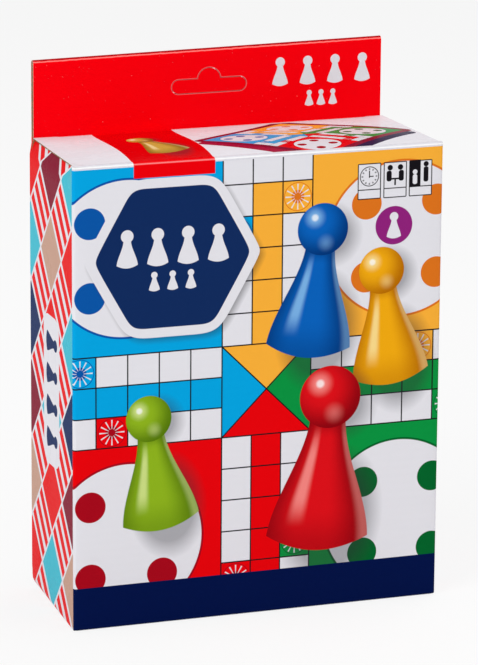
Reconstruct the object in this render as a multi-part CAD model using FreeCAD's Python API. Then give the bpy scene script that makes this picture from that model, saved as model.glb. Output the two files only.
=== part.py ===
"""Travel ludo game: a printed micro-flute carton with a hang tab, and the folded game inside it.

Millimetres, +Z up. The origin is the middle of the footprint, on the surface that the box stands on.
The front faces -Y and +X is to the right as one looks at the front.
"""
import FreeCAD
import Part

import math
import os

from FreeCAD import Vector

# Carton, outside
box_width = 155.0
box_depth = 60.0
box_height = 190.0
caliper = 1.5               # thickness of the micro-flute board
corner_radius = 1.2         # outside of the upright creases
side_fold_radius = 7.0      # soft fold at the top of each side wall
crease_clearance = 0.1      # between a moving flap and the fold it starts from
flap_clearance = 0.3        # between flaps and what they lie against or slide past

# Hang tab
tab_height = 33.0           # above the lid
tab_right_setback = 4.5     # the tab is cut back at its right end, beside the glue seam
tab_lap = 14.0              # how far the folded-over ply runs down inside the box
slot_length = 32.0
slot_height = 6.0
slot_bump_diameter = 10.0
slot_bump_rise = 4.4        # of the round bump above the straight slot
slot_top_margin = 8.6       # from the bump's top to the tab's top edge
plug_clearance = 0.2

# Lid and flaps
lid_side_clearance = 0.8    # lid edge to the box's outer side
tuck_length = 16.0
tuck_shoulder = 11.0        # each end of the tuck flap stops this far inside the lid's end
tuck_corner_radius = 8.0
tuck_lean_margin = 3.0      # degrees, more than the lean at which the flap just clears the tab
dust_length = 30.0
dust_relief = 12.0          # slanted cut at the rear of each dust flap, 45 degrees
dust_tip_taper = 4.0        # how much the front edge slants back towards the tip
bottom_flap_gap = 1.0       # between the two bottom flaps where they meet
glue_flap_width = 16.0

# Game board, folded in four
board_side_clearance = 6.0
board_top_clearance = 13.0  # between the board and the swing of the dust flaps
quarter_thickness = 2.0
quarter_gap = 0.2
tape_thickness = 0.4
tape_width = 10.0           # of each leg of a hinge tape

# Rules leaflet, one sheet folded once
leaflet_width = 105.0
leaflet_height = 130.0
sheet_thickness = 0.3
leaflet_gap = 0.3

# Pawns and die
pawn_colours = ("blue", "yellow", "green", "red")
pawns_per_colour = 4
pawn_height = 24.0
pawn_base_diameter = 12.0
pawn_rim_height = 0.9
pawn_neck_diameter = 5.2
pawn_head_diameter = 9.0
pawn_belly = 0.6            # how far the skirt swells out past a straight cone
piece_gap = 1.0
die_size = 12.0
die_edge_radius = 1.2
pip_diameter = 2.2
pip_depth = 0.5
pip_spacing = 3.0

# Worked out
left_x = -box_width / 2
right_x = box_width / 2
front_y = -box_depth / 2
back_y = box_depth / 2
inner_left_x = left_x + caliper
inner_right_x = right_x - caliper
inner_front_y = front_y + caliper
inner_back_y = back_y - caliper
tab_face_y = back_y - 2 * caliper
tab_top_z = box_height + tab_height
tab_right_x = right_x - tab_right_setback
tab_middle_x = (left_x + tab_right_x) / 2
lid_under_z = box_height - caliper
dust_top_z = lid_under_z - flap_clearance
dust_under_z = dust_top_z - caliper
left_fold_end_x = left_x + side_fold_radius
floor_z = 2 * caliper
lid_rear_y = tab_face_y - flap_clearance
bottom_rear_y = inner_back_y - flap_clearance
tuck_half_width = right_x - lid_side_clearance - tuck_shoulder
swing_depth = lid_rear_y - front_y
tuck_lean = math.degrees(math.asin((tuck_length + caliper) / (2 * swing_depth))) + tuck_lean_margin


def box(x0, x1, y0, y1, z0, z1):
    return Part.makeBox(x1 - x0, y1 - y0, z1 - z0, Vector(x0, y0, z0))


def line(a, b):
    return Part.LineSegment(a, b).toShape()


def arc(a, through, b):
    return Part.Arc(a, through, b).toShape()


def on_circle(centre, radius, degrees, plane):
    """The point of a circle in the YZ or XZ plane, with the angle measured from +Y or +X towards +Z."""
    across = radius * math.cos(math.radians(degrees))
    up = radius * math.sin(math.radians(degrees))
    return centre + (Vector(0, across, up) if plane == "YZ" else Vector(across, 0, up))


def solid_from(edges, sweep):
    return Part.Face(Part.Wire(edges)).extrude(sweep)


def polygon(points, sweep):
    return solid_from([line(a, b) for a, b in zip(points, points[1:] + points[:1])], sweep)


def round_edges(shape, radius, chosen):
    """Fillets the edges for which chosen(edge) is true."""
    return shape.makeFillet(radius, [edge for edge in shape.Edges if chosen(edge)])


def runs_along(edge, axis):
    return edge.Curve.TypeId == "Part::GeomLine" and abs(abs(edge.tangentAt(0).dot(axis)) - 1) < 1e-6


def stands_at(edge, x, y):
    """True for an upright edge at this x and y."""
    if not runs_along(edge, Vector(0, 0, 1)):
        return False
    middle = edge.CenterOfMass
    return abs(middle.x - x) < 1e-6 and abs(middle.y - y) < 1e-6


def mirrored(shape):
    """The same shape on the other side of the box's middle plane."""
    return shape.mirror(Vector(0, 0, 0), Vector(1, 0, 0))


def front_panel():
    """Front wall. Its top and bottom ends are half of a round fold, mitred where the lid and bottom begin."""
    top = Vector(left_x, inner_front_y, lid_under_z)
    low = Vector(left_x, inner_front_y, caliper)
    side = [
        line(low, on_circle(low, caliper, 225, "YZ")),
        arc(*(on_circle(low, caliper, turn, "YZ") for turn in (225, 202.5, 180))),
        line(on_circle(low, caliper, 180, "YZ"), on_circle(top, caliper, 180, "YZ")),
        arc(*(on_circle(top, caliper, turn, "YZ") for turn in (180, 157.5, 135))),
        line(on_circle(top, caliper, 135, "YZ"), top),
        line(top, low),
    ]
    sheet = box(left_x, right_x, front_y, inner_front_y, 0, box_height)
    corners = (left_x, right_x)
    sheet = round_edges(sheet, corner_radius, lambda e: any(stands_at(e, x, front_y) for x in corners))
    return sheet.common(solid_from(side, Vector(box_width, 0, 0)))


def left_panel():
    """Left wall, with a small fold into its bottom flap and a wide soft one into its dust flap."""
    low = Vector(inner_left_x, inner_front_y, floor_z)
    bend = Vector(left_fold_end_x, inner_front_y, dust_top_z - side_fold_radius)
    inside = side_fold_radius - caliper
    section = [
        line(low, on_circle(low, caliper, 270, "XZ")),
        arc(*(on_circle(low, caliper, turn, "XZ") for turn in (270, 225, 180))),
        line(on_circle(low, caliper, 180, "XZ"), on_circle(bend, side_fold_radius, 180, "XZ")),
        arc(*(on_circle(bend, side_fold_radius, turn, "XZ") for turn in (180, 135, 90))),
        line(on_circle(bend, side_fold_radius, 90, "XZ"), on_circle(bend, inside, 90, "XZ")),
        arc(*(on_circle(bend, inside, turn, "XZ") for turn in (90, 135, 180))),
        line(on_circle(bend, inside, 180, "XZ"), low),
    ]
    return solid_from(section, Vector(0, inner_back_y - inner_front_y, 0))


def slot_cutter(clearance):
    """A hang slot: a round-ended slot with a round bump at the middle of its top, cut through both plies."""
    y = tab_face_y
    depth = Vector(0, back_y - tab_face_y, 0)
    end_radius = slot_height / 2 - clearance
    bump_top = tab_top_z - slot_top_margin
    slot_base = bump_top - slot_bump_rise - slot_height
    centre = Vector(tab_middle_x, y, slot_base + slot_height / 2)
    reach = Vector(slot_length / 2 - slot_height / 2, 0, 0)
    up = Vector(0, 0, end_radius)
    out = Vector(end_radius, 0, 0)
    slot = solid_from(
        [
            line(centre - reach - up, centre + reach - up),
            arc(centre + reach - up, centre + reach + out, centre + reach + up),
            line(centre + reach + up, centre - reach + up),
            arc(centre - reach + up, centre - reach - out, centre - reach - up),
        ],
        depth,
    )
    bump_radius = slot_bump_diameter / 2
    bump_centre = Vector(tab_middle_x, y, bump_top - bump_radius)
    bump = Part.makeCylinder(bump_radius - clearance, depth.y, bump_centre, Vector(0, 1, 0))
    return slot.fuse(bump).removeSplitter()


def tab_ply(outer_y, bottom_z):
    """One ply of the hang tab, with its half of the round fold along the top."""
    crest = Vector(left_x, inner_back_y, tab_top_z - caliper)
    face = Vector(left_x, outer_y, 0)
    outward = 0 if outer_y > inner_back_y else 180
    halfway = 45 if outward == 0 else 135
    low = Vector(left_x, inner_back_y, bottom_z)
    low_out = Vector(left_x, face.y, bottom_z)
    section = [
        line(low, low_out),
        line(low_out, on_circle(crest, caliper, outward, "YZ")),
        arc(*(on_circle(crest, caliper, turn, "YZ") for turn in (outward, halfway, 90))),
        line(on_circle(crest, caliper, 90, "YZ"), low),
    ]
    return solid_from(section, Vector(tab_right_x - left_x, 0, 0)).cut(slot_cutter(0))


def back_panel():
    """Back wall, which runs on upward as the rear ply of the hang tab.

    Beside the tab its top right corner slants down, as the side wall's soft fold does there.
    """
    wall = box(left_x, right_x, inner_back_y, back_y, 0, box_height)
    corners = (left_x, right_x)
    wall = round_edges(wall, corner_radius, lambda e: any(stands_at(e, x, back_y) for x in corners))
    shoulder = [
        Vector(tab_right_x, inner_back_y, box_height),
        Vector(right_x, inner_back_y, box_height),
        Vector(right_x, inner_back_y, box_height - side_fold_radius),
    ]
    wall = wall.cut(polygon(shoulder, Vector(0, caliper, 0)))
    return wall.fuse(tab_ply(back_y, box_height)).removeSplitter()


def hang_tab_front():
    """Front ply of the tab: as wide as the tab above the walls, with a tongue glued inside the back wall.

    The tongue is narrower than the tab, so that it stays between the soft folds of the side walls.
    """
    tongue_half = right_x - side_fold_radius - flap_clearance
    tongue = box(-tongue_half, tongue_half, tab_face_y, inner_back_y, box_height - tab_lap, lid_under_z)
    return tab_ply(tab_face_y, lid_under_z).fuse(tongue).removeSplitter()


def glue_flap():
    """The blank's seam: a strip on the right wall, glued inside the back wall between the two tucks."""
    low = caliper + tuck_length + flap_clearance
    high = box_height - tab_lap - flap_clearance
    return box(inner_right_x - glue_flap_width, inner_right_x, tab_face_y, inner_back_y, low, high)


def lid():
    """Top panel, with its half of the fold at the front, a rounded crease at the rear and a slanted right end."""
    x = left_x + lid_side_clearance
    fold = Vector(x, inner_front_y + crease_clearance, lid_under_z)
    rear = Vector(x, lid_rear_y - caliper, lid_under_z)
    section = [
        line(fold, on_circle(fold, caliper, 135, "YZ")),
        arc(*(on_circle(fold, caliper, turn, "YZ") for turn in (135, 112.5, 90))),
        line(on_circle(fold, caliper, 90, "YZ"), on_circle(rear, caliper, 90, "YZ")),
        arc(*(on_circle(rear, caliper, turn, "YZ") for turn in (90, 45, 0))),
        line(on_circle(rear, caliper, 0, "YZ"), fold),
    ]
    sheet = solid_from(section, Vector(box_width - 2 * lid_side_clearance, 0, 0))
    outline = [
        Vector(x, front_y, lid_under_z),
        Vector(right_x - lid_side_clearance, front_y, lid_under_z),
        Vector(tab_right_x, lid_rear_y, lid_under_z),
        Vector(x, lid_rear_y, lid_under_z),
    ]
    return sheet.common(polygon(outline, Vector(0, 0, caliper)))


def tuck_flap():
    """A tuck flap standing straight down from z = 0, its inner face on y = 0, with round lower corners."""
    flap = box(-tuck_half_width, tuck_half_width, 0, caliper, -tuck_length, -crease_clearance)
    across = Vector(0, 1, 0)
    return round_edges(
        flap, tuck_corner_radius, lambda e: runs_along(e, across) and e.CenterOfMass.z < -tuck_length / 2
    )


def lid_tuck_flap():
    """The lid's tuck flap, leaning inward so far that it clears the tab as the lid swings."""
    flap = tuck_flap()
    flap.rotate(Vector(0, 0, 0), Vector(1, 0, 0), -tuck_lean)
    flap.translate(Vector(0, lid_rear_y - caliper, lid_under_z))
    return flap


def left_dust_flap():
    """Flap on the left wall's top, with a slanted cut at the rear that keeps clear of the tuck flap."""
    x0 = left_fold_end_x + crease_clearance
    tip = left_fold_end_x + dust_length
    front = inner_front_y + flap_clearance
    rear = lid_rear_y - caliper - flap_clearance
    z = dust_under_z
    return polygon(
        [
            Vector(x0, front, z),
            Vector(tip, front + dust_tip_taper, z),
            Vector(tip, rear - dust_relief, z),
            Vector(x0 + dust_relief, rear - dust_relief, z),
            Vector(x0, rear, z),
        ],
        Vector(0, 0, caliper),
    )


def bottom_panel():
    """Bottom, folded from the front wall, with its half of that fold and a rounded crease at the rear."""
    fold = Vector(left_x + lid_side_clearance, inner_front_y, caliper)
    rear = Vector(fold.x, bottom_rear_y - caliper, caliper)
    section = [
        line(fold, on_circle(fold, caliper, 225, "YZ")),
        arc(*(on_circle(fold, caliper, turn, "YZ") for turn in (225, 247.5, 270))),
        line(on_circle(fold, caliper, 270, "YZ"), on_circle(rear, caliper, 270, "YZ")),
        arc(*(on_circle(rear, caliper, turn, "YZ") for turn in (270, 315, 360))),
        line(on_circle(rear, caliper, 0, "YZ"), fold),
    ]
    return solid_from(section, Vector(box_width - 2 * lid_side_clearance, 0, 0))


def bottom_tuck_flap():
    """The bottom's tuck flap, upright inside the back wall."""
    flap = tuck_flap()
    flap.rotate(Vector(0, caliper / 2, 0), Vector(0, 1, 0), 180)
    flap.translate(Vector(0, bottom_rear_y - caliper, caliper - crease_clearance))
    return flap


def left_bottom_flap():
    """Flap on the left wall's foot. The two meet in the middle, so that the box has a level floor."""
    rear = bottom_rear_y - caliper - flap_clearance
    front = inner_front_y + flap_clearance
    return box(inner_left_x, -bottom_flap_gap / 2, front, rear, caliper, floor_z)


# Folded board: two pairs of quarters, each pair held by a tape at its left edge, both by the spine tape below
board_back_y = bottom_rear_y - caliper - flap_clearance
quarter_room_x = inner_right_x - inner_left_x - 2 * board_side_clearance
quarter_room_z = dust_under_z - dust_length - board_top_clearance - floor_z - tape_thickness
quarter_size = min(quarter_room_x, quarter_room_z)
quarter_low_z = floor_z + tape_thickness
pair_thickness = 2 * quarter_thickness + quarter_gap
between_pairs = 2 * tape_thickness + quarter_gap
stack_back_y = board_back_y - tape_thickness
stack_front_y = stack_back_y - 2 * pair_thickness - between_pairs
board_front_y = stack_front_y - tape_thickness
quarter_step = quarter_thickness + quarter_gap
quarter_back_faces = {
    "blue": stack_back_y,
    "yellow": stack_back_y - quarter_step,
    "green": stack_front_y + pair_thickness,
    "red": stack_front_y + quarter_thickness,
}


def board_quarter(colour):
    y = quarter_back_faces[colour]
    half = quarter_size / 2
    return box(-half, half, y - quarter_thickness, y, quarter_low_z, quarter_low_z + quarter_size)


def wrap(outer, inner):
    """A thin tape folded round an edge: the outer block less the pieces that it wraps."""
    return outer.cut(inner)


def board_spine_tape():
    """Hinge tape under the folded board, up both of its outer faces."""
    half = quarter_size / 2
    outer = box(-half, half, board_front_y, board_back_y, floor_z, quarter_low_z + tape_width)
    inner = box(-half, half, stack_front_y, stack_back_y, quarter_low_z, quarter_low_z + tape_width)
    return wrap(outer, inner)


def board_pair_tape(pair_back_y):
    """Hinge tape at the left edge of one pair of quarters, above the spine tape's legs."""
    edge = -quarter_size / 2
    low = quarter_low_z + tape_width + flap_clearance
    high = quarter_low_z + quarter_size
    front = pair_back_y - pair_thickness
    outer = box(edge - tape_thickness, edge + tape_width, front - tape_thickness, pair_back_y + tape_thickness,
                low, high)
    return wrap(outer, box(edge, edge + tape_width, front, pair_back_y, low, high))


leaflet_back_y = board_front_y - flap_clearance
leaflet_front_y = leaflet_back_y - 2 * sheet_thickness - leaflet_gap


def rules_leaflet():
    """A sheet folded once at the left and stood on the floor of the box before the board."""
    outer = (leaflet_back_y - leaflet_front_y) / 2
    inner = leaflet_gap / 2
    bend = Vector(-leaflet_width / 2 + outer, leaflet_back_y - outer, floor_z)
    to_edge = Vector(leaflet_width - outer, 0, 0)
    back = Vector(0, 1, 0)
    left = Vector(-1, 0, 0)
    section = [
        arc(bend + back * outer, bend + left * outer, bend - back * outer),
        line(bend - back * outer, bend - back * outer + to_edge),
        line(bend - back * outer + to_edge, bend - back * inner + to_edge),
        line(bend - back * inner + to_edge, bend - back * inner),
        arc(bend - back * inner, bend + left * inner, bend + back * inner),
        line(bend + back * inner, bend + back * inner + to_edge),
        line(bend + back * inner + to_edge, bend + back * outer + to_edge),
        line(bend + back * outer + to_edge, bend + back * outer),
    ]
    return solid_from(section, Vector(0, 0, leaflet_height))


def pawn():
    """A playing piece: a skirt that swells a little, a neck and a ball head, turned about the upright axis."""
    base = pawn_base_diameter / 2
    neck = pawn_neck_diameter / 2
    head = pawn_head_diameter / 2
    head_z = pawn_height - head
    chin_z = head_z - math.sqrt(head ** 2 - neck ** 2)
    throat_z = chin_z - pawn_rim_height
    halfway = Vector((base + neck) / 2 + pawn_belly, 0, (pawn_rim_height + throat_z) / 2)
    foot = Vector(0, 0, 0)
    top = Vector(0, 0, pawn_height)
    rim = Vector(base, 0, pawn_rim_height)
    throat = Vector(neck, 0, throat_z)
    chin = Vector(neck, 0, chin_z)
    outline = [
        line(foot, Vector(base, 0, 0)),
        line(Vector(base, 0, 0), rim),
        arc(rim, halfway, throat),
        line(throat, chin),
        arc(chin, Vector(head, 0, head_z), top),
        line(top, foot),
    ]
    return Part.Face(Part.Wire(outline)).revolve(Vector(0, 0, 0), Vector(0, 0, 1), 360)


# Where the pips of each number lie on a face, in steps of the pip spacing
pip_layouts = {
    1: [(0, 0)],
    2: [(-1, -1), (1, 1)],
    3: [(-1, -1), (0, 0), (1, 1)],
    4: [(-1, -1), (-1, 1), (1, -1), (1, 1)],
    5: [(-1, -1), (-1, 1), (0, 0), (1, -1), (1, 1)],
    6: [(-1, -1), (-1, 0), (-1, 1), (1, -1), (1, 0), (1, 1)],
}
# The way each number faces, and the two directions along its face. Opposite faces add up to seven.
x_way, y_way, z_way = Vector(1, 0, 0), Vector(0, 1, 0), Vector(0, 0, 1)
die_faces = {
    1: (z_way, x_way, y_way),
    6: (z_way * -1, x_way, y_way),
    2: (y_way * -1, x_way, z_way),
    5: (y_way, x_way, z_way),
    3: (x_way, y_way, z_way),
    4: (x_way * -1, y_way, z_way),
}


def die():
    """A cube with rounded edges and a round dimple for each pip, standing on z = 0."""
    half = die_size / 2
    cube = box(-half, half, -half, half, -half, half)
    cube = round_edges(cube, die_edge_radius, lambda edge: True)
    ball_radius = ((pip_diameter / 2) ** 2 + pip_depth ** 2) / (2 * pip_depth)
    for number, (out, across, along) in die_faces.items():
        for i, j in pip_layouts[number]:
            spot = out * (half + ball_radius - pip_depth) + across * (i * pip_spacing) + along * (j * pip_spacing)
            cube = cube.cut(Part.makeSphere(ball_radius, spot))
    cube.translate(Vector(0, 0, half))
    return cube


# Pawns and die stand in rows on the floor, before the leaflet
piece_pitch = max(pawn_base_diameter, die_size) + piece_gap
piece_count = len(pawn_colours) * pawns_per_colour + 1
rows = int((leaflet_front_y - inner_front_y) // piece_pitch)
columns = math.ceil(piece_count / rows)
middle_y = (leaflet_front_y + inner_front_y) / 2


def on_floor(shape, place):
    """Stands a piece on the floor, at this place of the grid, counted from the front left."""
    column, row = divmod(place, rows)
    x = (column - (columns - 1) / 2) * piece_pitch
    y = middle_y + (row - (rows - 1) / 2) * piece_pitch
    shape.translate(Vector(x, y, floor_z))
    return shape


def all_parts():
    parts = {
        "front_panel": front_panel(),
        "back_panel": back_panel(),
        "left_panel": left_panel(),
        "right_panel": mirrored(left_panel()),
        "glue_flap": glue_flap(),
        "hang_tab_front": hang_tab_front(),
        "hang_slot_plug": slot_cutter(plug_clearance),
        "lid": lid(),
        "lid_tuck_flap": lid_tuck_flap(),
        "left_dust_flap": left_dust_flap(),
        "right_dust_flap": mirrored(left_dust_flap()),
        "bottom_panel": bottom_panel(),
        "bottom_tuck_flap": bottom_tuck_flap(),
        "left_bottom_flap": left_bottom_flap(),
        "right_bottom_flap": mirrored(left_bottom_flap()),
        "board_spine_tape": board_spine_tape(),
        "board_back_tape": board_pair_tape(stack_back_y),
        "board_front_tape": board_pair_tape(stack_front_y + pair_thickness),
        "rules_leaflet": rules_leaflet(),
        "die": on_floor(die(), piece_count - 1),
    }
    for colour in quarter_back_faces:
        parts[f"board_quarter_{colour}"] = board_quarter(colour)
    for i, colour in enumerate(pawn_colours):
        for j in range(pawns_per_colour):
            parts[f"pawn_{colour}_{j + 1}"] = on_floor(pawn(), i * pawns_per_colour + j)
    return parts


os.makedirs("parts", exist_ok=True)
for name, shape in all_parts().items():
    shape.exportStep(f"parts/{name}.step")
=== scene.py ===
# %% [markdown]
# # A travel ludo game in its hang-tab carton
# The carton is micro-flute board: two paper liners with a corrugated sheet between them, printed, die-cut,
# folded and glued. Inside are a board folded in four, sixteen pawns, a die and a leaflet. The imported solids
# say where each panel lies and how the lid, its tuck flap, the dust flaps and the slot plug move. This
# lesson gives them their looks, and starts by loading those solids and reading the carton's sizes from
# them, in millimetres.

# %% Load the frame
import functools
import math

import bmesh
import bpy
from mathutils import Matrix, Vector


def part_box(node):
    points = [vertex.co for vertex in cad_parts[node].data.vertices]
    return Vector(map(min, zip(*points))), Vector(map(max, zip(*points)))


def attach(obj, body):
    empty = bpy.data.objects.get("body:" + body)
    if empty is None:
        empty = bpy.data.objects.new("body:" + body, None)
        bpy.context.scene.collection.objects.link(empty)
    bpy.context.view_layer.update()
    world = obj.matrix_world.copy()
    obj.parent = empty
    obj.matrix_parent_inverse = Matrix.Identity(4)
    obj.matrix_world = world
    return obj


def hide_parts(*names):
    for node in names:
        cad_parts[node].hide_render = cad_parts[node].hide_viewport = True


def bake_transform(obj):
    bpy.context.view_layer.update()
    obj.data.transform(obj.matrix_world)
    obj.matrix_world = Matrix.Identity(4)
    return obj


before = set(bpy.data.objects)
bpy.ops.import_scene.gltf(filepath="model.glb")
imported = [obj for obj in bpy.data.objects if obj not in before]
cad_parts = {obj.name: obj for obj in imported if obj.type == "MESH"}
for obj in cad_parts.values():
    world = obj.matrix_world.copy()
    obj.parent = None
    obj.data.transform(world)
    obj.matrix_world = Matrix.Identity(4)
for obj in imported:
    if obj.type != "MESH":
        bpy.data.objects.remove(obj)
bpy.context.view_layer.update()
MM = 0.001


def corners(node):
    """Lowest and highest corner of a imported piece, in millimetres."""
    low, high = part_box(node)
    return low / MM, high / MM


def place_object(name, data):
    """A new object in the scene with this camera, lamp or mesh."""
    made = bpy.data.objects.new(name, data)
    bpy.context.scene.collection.objects.link(made)
    return made


def new_mesh(bm, name):
    mesh = bpy.data.meshes.new(name)
    bm.to_mesh(mesh)
    bm.free()
    return mesh


SIDES = ((1, "left"), (-1, "right"))    # the right side mirrors the left one
front_low, front_high = corners("front_panel")
back_high = corners("back_panel")[1]
wall_low = corners("left_panel")[0]
tab_low, tab_high = corners("hang_tab_front")
lid_low, lid_high = corners("lid")
tuck_low, tuck_high = corners("lid_tuck_flap")
dust_low, dust_high = corners("left_dust_flap")
plug_low, plug_high = corners("hang_slot_plug")
half_width = front_high.x
front_y, back_y = front_low.y, back_high.y
caliper = front_high.y - front_low.y
inner_front_y, inner_back_y = front_y + caliper, back_y - caliper
box_height, tab_top = lid_high.z, back_high.z
lid_under = box_height - caliper
print(f"Carton {2 * half_width:.1f} x {back_y - front_y:.1f} x {box_height:.1f} mm")
print(f"Board {caliper:.2f} mm thick")

# %% [markdown]
# ## Camera, floor and light
# The photograph was taken with a long lens from the left and a little above, so the upright edges hardly
# converge. The angles, distance and lens below put the carton's corners where the photograph has them. A
# wide pale floor fills the view, and three large soft lamps and a pale sky light the carton as in a small
# studio.

# %% Camera
AZIMUTH, ELEVATION, ROLL = (math.radians(angle) for angle in (-19.34, 14.79, 0.40))
DISTANCE = 1700
TARGET = Vector((1.86, 0, 109.89))
FOCAL_PIXELS, IMAGE_HEIGHT, SENSOR = 4195, 665, 36

level_back = Vector((math.sin(AZIMUTH), -math.cos(AZIMUTH), 0))
back = level_back * math.cos(ELEVATION) + Vector((0, 0, math.sin(ELEVATION)))
level_right = Vector((0, 0, 1)).cross(back).normalized()
level_up = back.cross(level_right)
right = level_right * math.cos(ROLL) + level_up * math.sin(ROLL)
up = level_up * math.cos(ROLL) - level_right * math.sin(ROLL)
lens = bpy.data.cameras.new("camera")
lens.sensor_width = SENSOR
lens.lens = FOCAL_PIXELS * SENSOR / IMAGE_HEIGHT
lens.clip_start, lens.clip_end = 0.01, 100
camera = place_object("camera", lens)
turned = Matrix((right, up, back)).transposed().to_4x4()
camera.matrix_world = Matrix.Translation((TARGET + back * DISTANCE) * MM) @ turned
bpy.context.scene.camera = camera
bpy.context.scene.view_settings.view_transform = "Standard"
print(f"Camera {DISTANCE} mm away with a {lens.lens:.0f} mm lens")


# %% Helpers for every finish: colours, shader nodes, and how a material starts and ends
def ink(code):
    """An sRGB colour such as E8000A as linear red, green, blue and alpha."""
    parts = [int(code[i:i + 2], 16) / 255 for i in (0, 2, 4)]
    return (*(c / 12.92 if c <= 0.04045 else ((c + 0.055) / 1.055) ** 2.4 for c in parts), 1)


def add(tree, kind, inputs=(), operation=None, out=0, stops=(), **settings):
    """Adds a shader node, sets or links its inputs and returns one output, or all of them for None."""
    node = tree.nodes.new(kind if kind.startswith("NodeGroup") else "ShaderNode" + kind)
    if operation:
        node.operation = operation
    for name, value in settings.items():
        setattr(node, name, value)
    for key, value in inputs.items() if isinstance(inputs, dict) else enumerate(inputs):
        if isinstance(value, bpy.types.NodeSocket):
            tree.links.new(value, node.inputs[key])
        elif value is not None:
            node.inputs[key].default_value = value
    for position, colour in stops:
        elements = node.color_ramp.elements
        spare = [element for element in elements if element.position == position]
        (spare[0] if spare else elements.new(position)).color = colour
    return node.outputs if out is None else node.outputs[out]


def new_material(name):
    """A material without nodes, and the function that puts nodes in it."""
    material = bpy.data.materials.new(name)
    material.use_nodes = True
    material.node_tree.nodes.clear()
    return material, functools.partial(add, material.node_tree)


def in_millimetres(put):
    """Where a point lies on its object, in millimetres."""
    return put("VectorMath", {0: put("TexCoord", out="Object"), "Scale": 1 / MM}, "SCALE")


def surface(put, colour, roughness, height, depth, refraction=None):
    """Ends a material. Its relief is the height times this depth in millimetres."""
    normal = put("Bump", {"Strength": 1.0, "Distance": MM * depth, "Height": height})
    looks = {"Base Color": colour, "Roughness": roughness, "Normal": normal, "IOR": refraction}
    put("OutputMaterial", [put("BsdfPrincipled", looks)], out=None)


# %% Floor and light
FLOOR_SIZE = 12.0
FLOOR_WHITE = 0.82          # how much of the floor's look to the camera is plain white paper
SKY = 0.38                  # strength of the pale light from all round
LAMPS = (                   # name, place in metres, size and watts of each soft box
    ("key_lamp", (-1.6, -0.85, 1.25), 1.2, 24),
    ("fill_lamp", (1.2, -1.4, 0.8), 1.2, 8),
    ("top_lamp", (0.5, 0.2, 1.6), 1.0, 7.5),
)


def background_ray(put):
    """1 for a ray that the camera, a gloss or a clear piece sends to the background, 0 for a ray of light."""
    path = put("LightPath", out=None)
    mirrored = put("Math", [path["Is Glossy Ray"], path["Is Transmission Ray"]], "MAXIMUM")
    return put("Math", [path["Is Camera Ray"], mirrored], "MAXIMUM")


floor_material, put = new_material("pale_paper_sweep")
paper = put("BsdfDiffuse", [ink("F4F4F4")])
seen_as_white = put("Emission", [(1, 1, 1, 1), 1.0])
share = put("Math", [background_ray(put), FLOOR_WHITE], "MULTIPLY")
put("OutputMaterial", [put("MixShader", [share, paper, seen_as_white])], out=None)
bm = bmesh.new()
bmesh.ops.create_grid(bm, x_segments=1, y_segments=1, size=FLOOR_SIZE / 2)
floor = place_object("floor", new_mesh(bm, "floor"))
floor.data.materials.append(floor_material)

world = bpy.data.worlds.new("pale_sky")
bpy.context.scene.world = world
world.use_nodes = True
world.node_tree.nodes.clear()
put = functools.partial(add, world.node_tree)
sky = put("Background", [(1, 1, 1, 1), SKY])
backdrop = put("Background", [(1, 1, 1, 1), 1.0])
put("OutputWorld", [put("MixShader", [background_ray(put), sky, backdrop])], out=None)

for name, stand, size, watts in LAMPS:
    lamp = bpy.data.lights.new(name, "AREA")
    lamp.size = size
    lamp.energy = watts
    to_lamp = (Vector(stand) - TARGET * MM).to_track_quat("Z", "Y")
    place_object(name, lamp).matrix_world = Matrix.Translation(stand) @ to_lamp.to_matrix().to_4x4()
print(f"Floor, sky and {len(LAMPS)} soft lamps")

# %% [markdown]
# ## How the print is drawn
# The carton is printed in flat inks. Each shape of the print is a distance in millimetres, below zero
# inside the shape, worked out from where a point lies on its panel. A stamp lays one ink over the colours
# below it, with an edge as soft as a real dot of ink. This stays sharp at any size and bakes well, where a
# picture file wouldn't.

# %% Inks of the print
WHITE = ink("E6E5EB")
BLACK = ink("17151A")
RED, DARK_RED = ink("EA040C"), ink("A80A1C")
BAND_RED, LID_RED, TAB_RED = ink("F0000A"), ink("DE0008"), ink("FF000E")
NAVY, STRIP_NAVY = ink("122C5E"), ink("041447")
CYAN, BLUE = ink("05A5E2"), ink("0B55A6")
ORANGE, BROWN = ink("FBB13A"), ink("DF741E")
GREEN, DARK_GREEN = ink("0B9341"), ink("04642C")
PURPLE, MAROON, TEAL, TAN = ink("90237B"), ink("86102F"), ink("45BFD3"), ink("C8A08D")
INK_EDGE = 0.16             # softness of an ink's edge
print("Inks mixed")


# %% Shapes of the print
def tint(put, under, colour, share):
    """Mixes a colour into another by a share of 0 to 1."""
    return put("Mix", {0: share, 6: under, 7: colour}, out=2, data_type="RGBA")


def stamp(put, under, colour, distance, edge=INK_EDGE, strength=1.0):
    """Lays a colour over another where the distance is below zero."""
    cover = put("Math", [distance, -1 / edge, 0.5], "MULTIPLY_ADD", use_clamp=True)
    if strength < 1:
        cover = put("Math", [cover, strength], "MULTIPLY")
    return tint(put, under, colour, cover)


def disc(put, place, centre, radius):
    away = put("VectorMath", [place, (*centre, 0)], "DISTANCE", out="Value")
    return put("Math", [away, radius], "SUBTRACT")


def bar(put, place, centre, half, radius=0.2):
    """An upright rectangle with round corners."""
    away = put("VectorMath", [place, (*centre, 0)], "SUBTRACT")
    away = put("VectorMath", [away], "ABSOLUTE")
    away = put("VectorMath", [away, (half[0] - radius, half[1] - radius, 0)], "SUBTRACT")
    away = put("VectorMath", [away, (0, 0, 0)], "MAXIMUM")
    away = put("VectorMath", [away], "LENGTH", out="Value")
    return put("Math", [away, radius], "SUBTRACT")


def outline(put, distance, width):
    """A line of this width along a shape's edge."""
    away = put("Math", [distance], "ABSOLUTE")
    return put("Math", [away, width / 2], "SUBTRACT")


def both(put, *distances):
    """Where all of these shapes overlap."""
    return functools.reduce(lambda a, b: put("Math", [a, b], "MAXIMUM"), distances)


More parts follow.
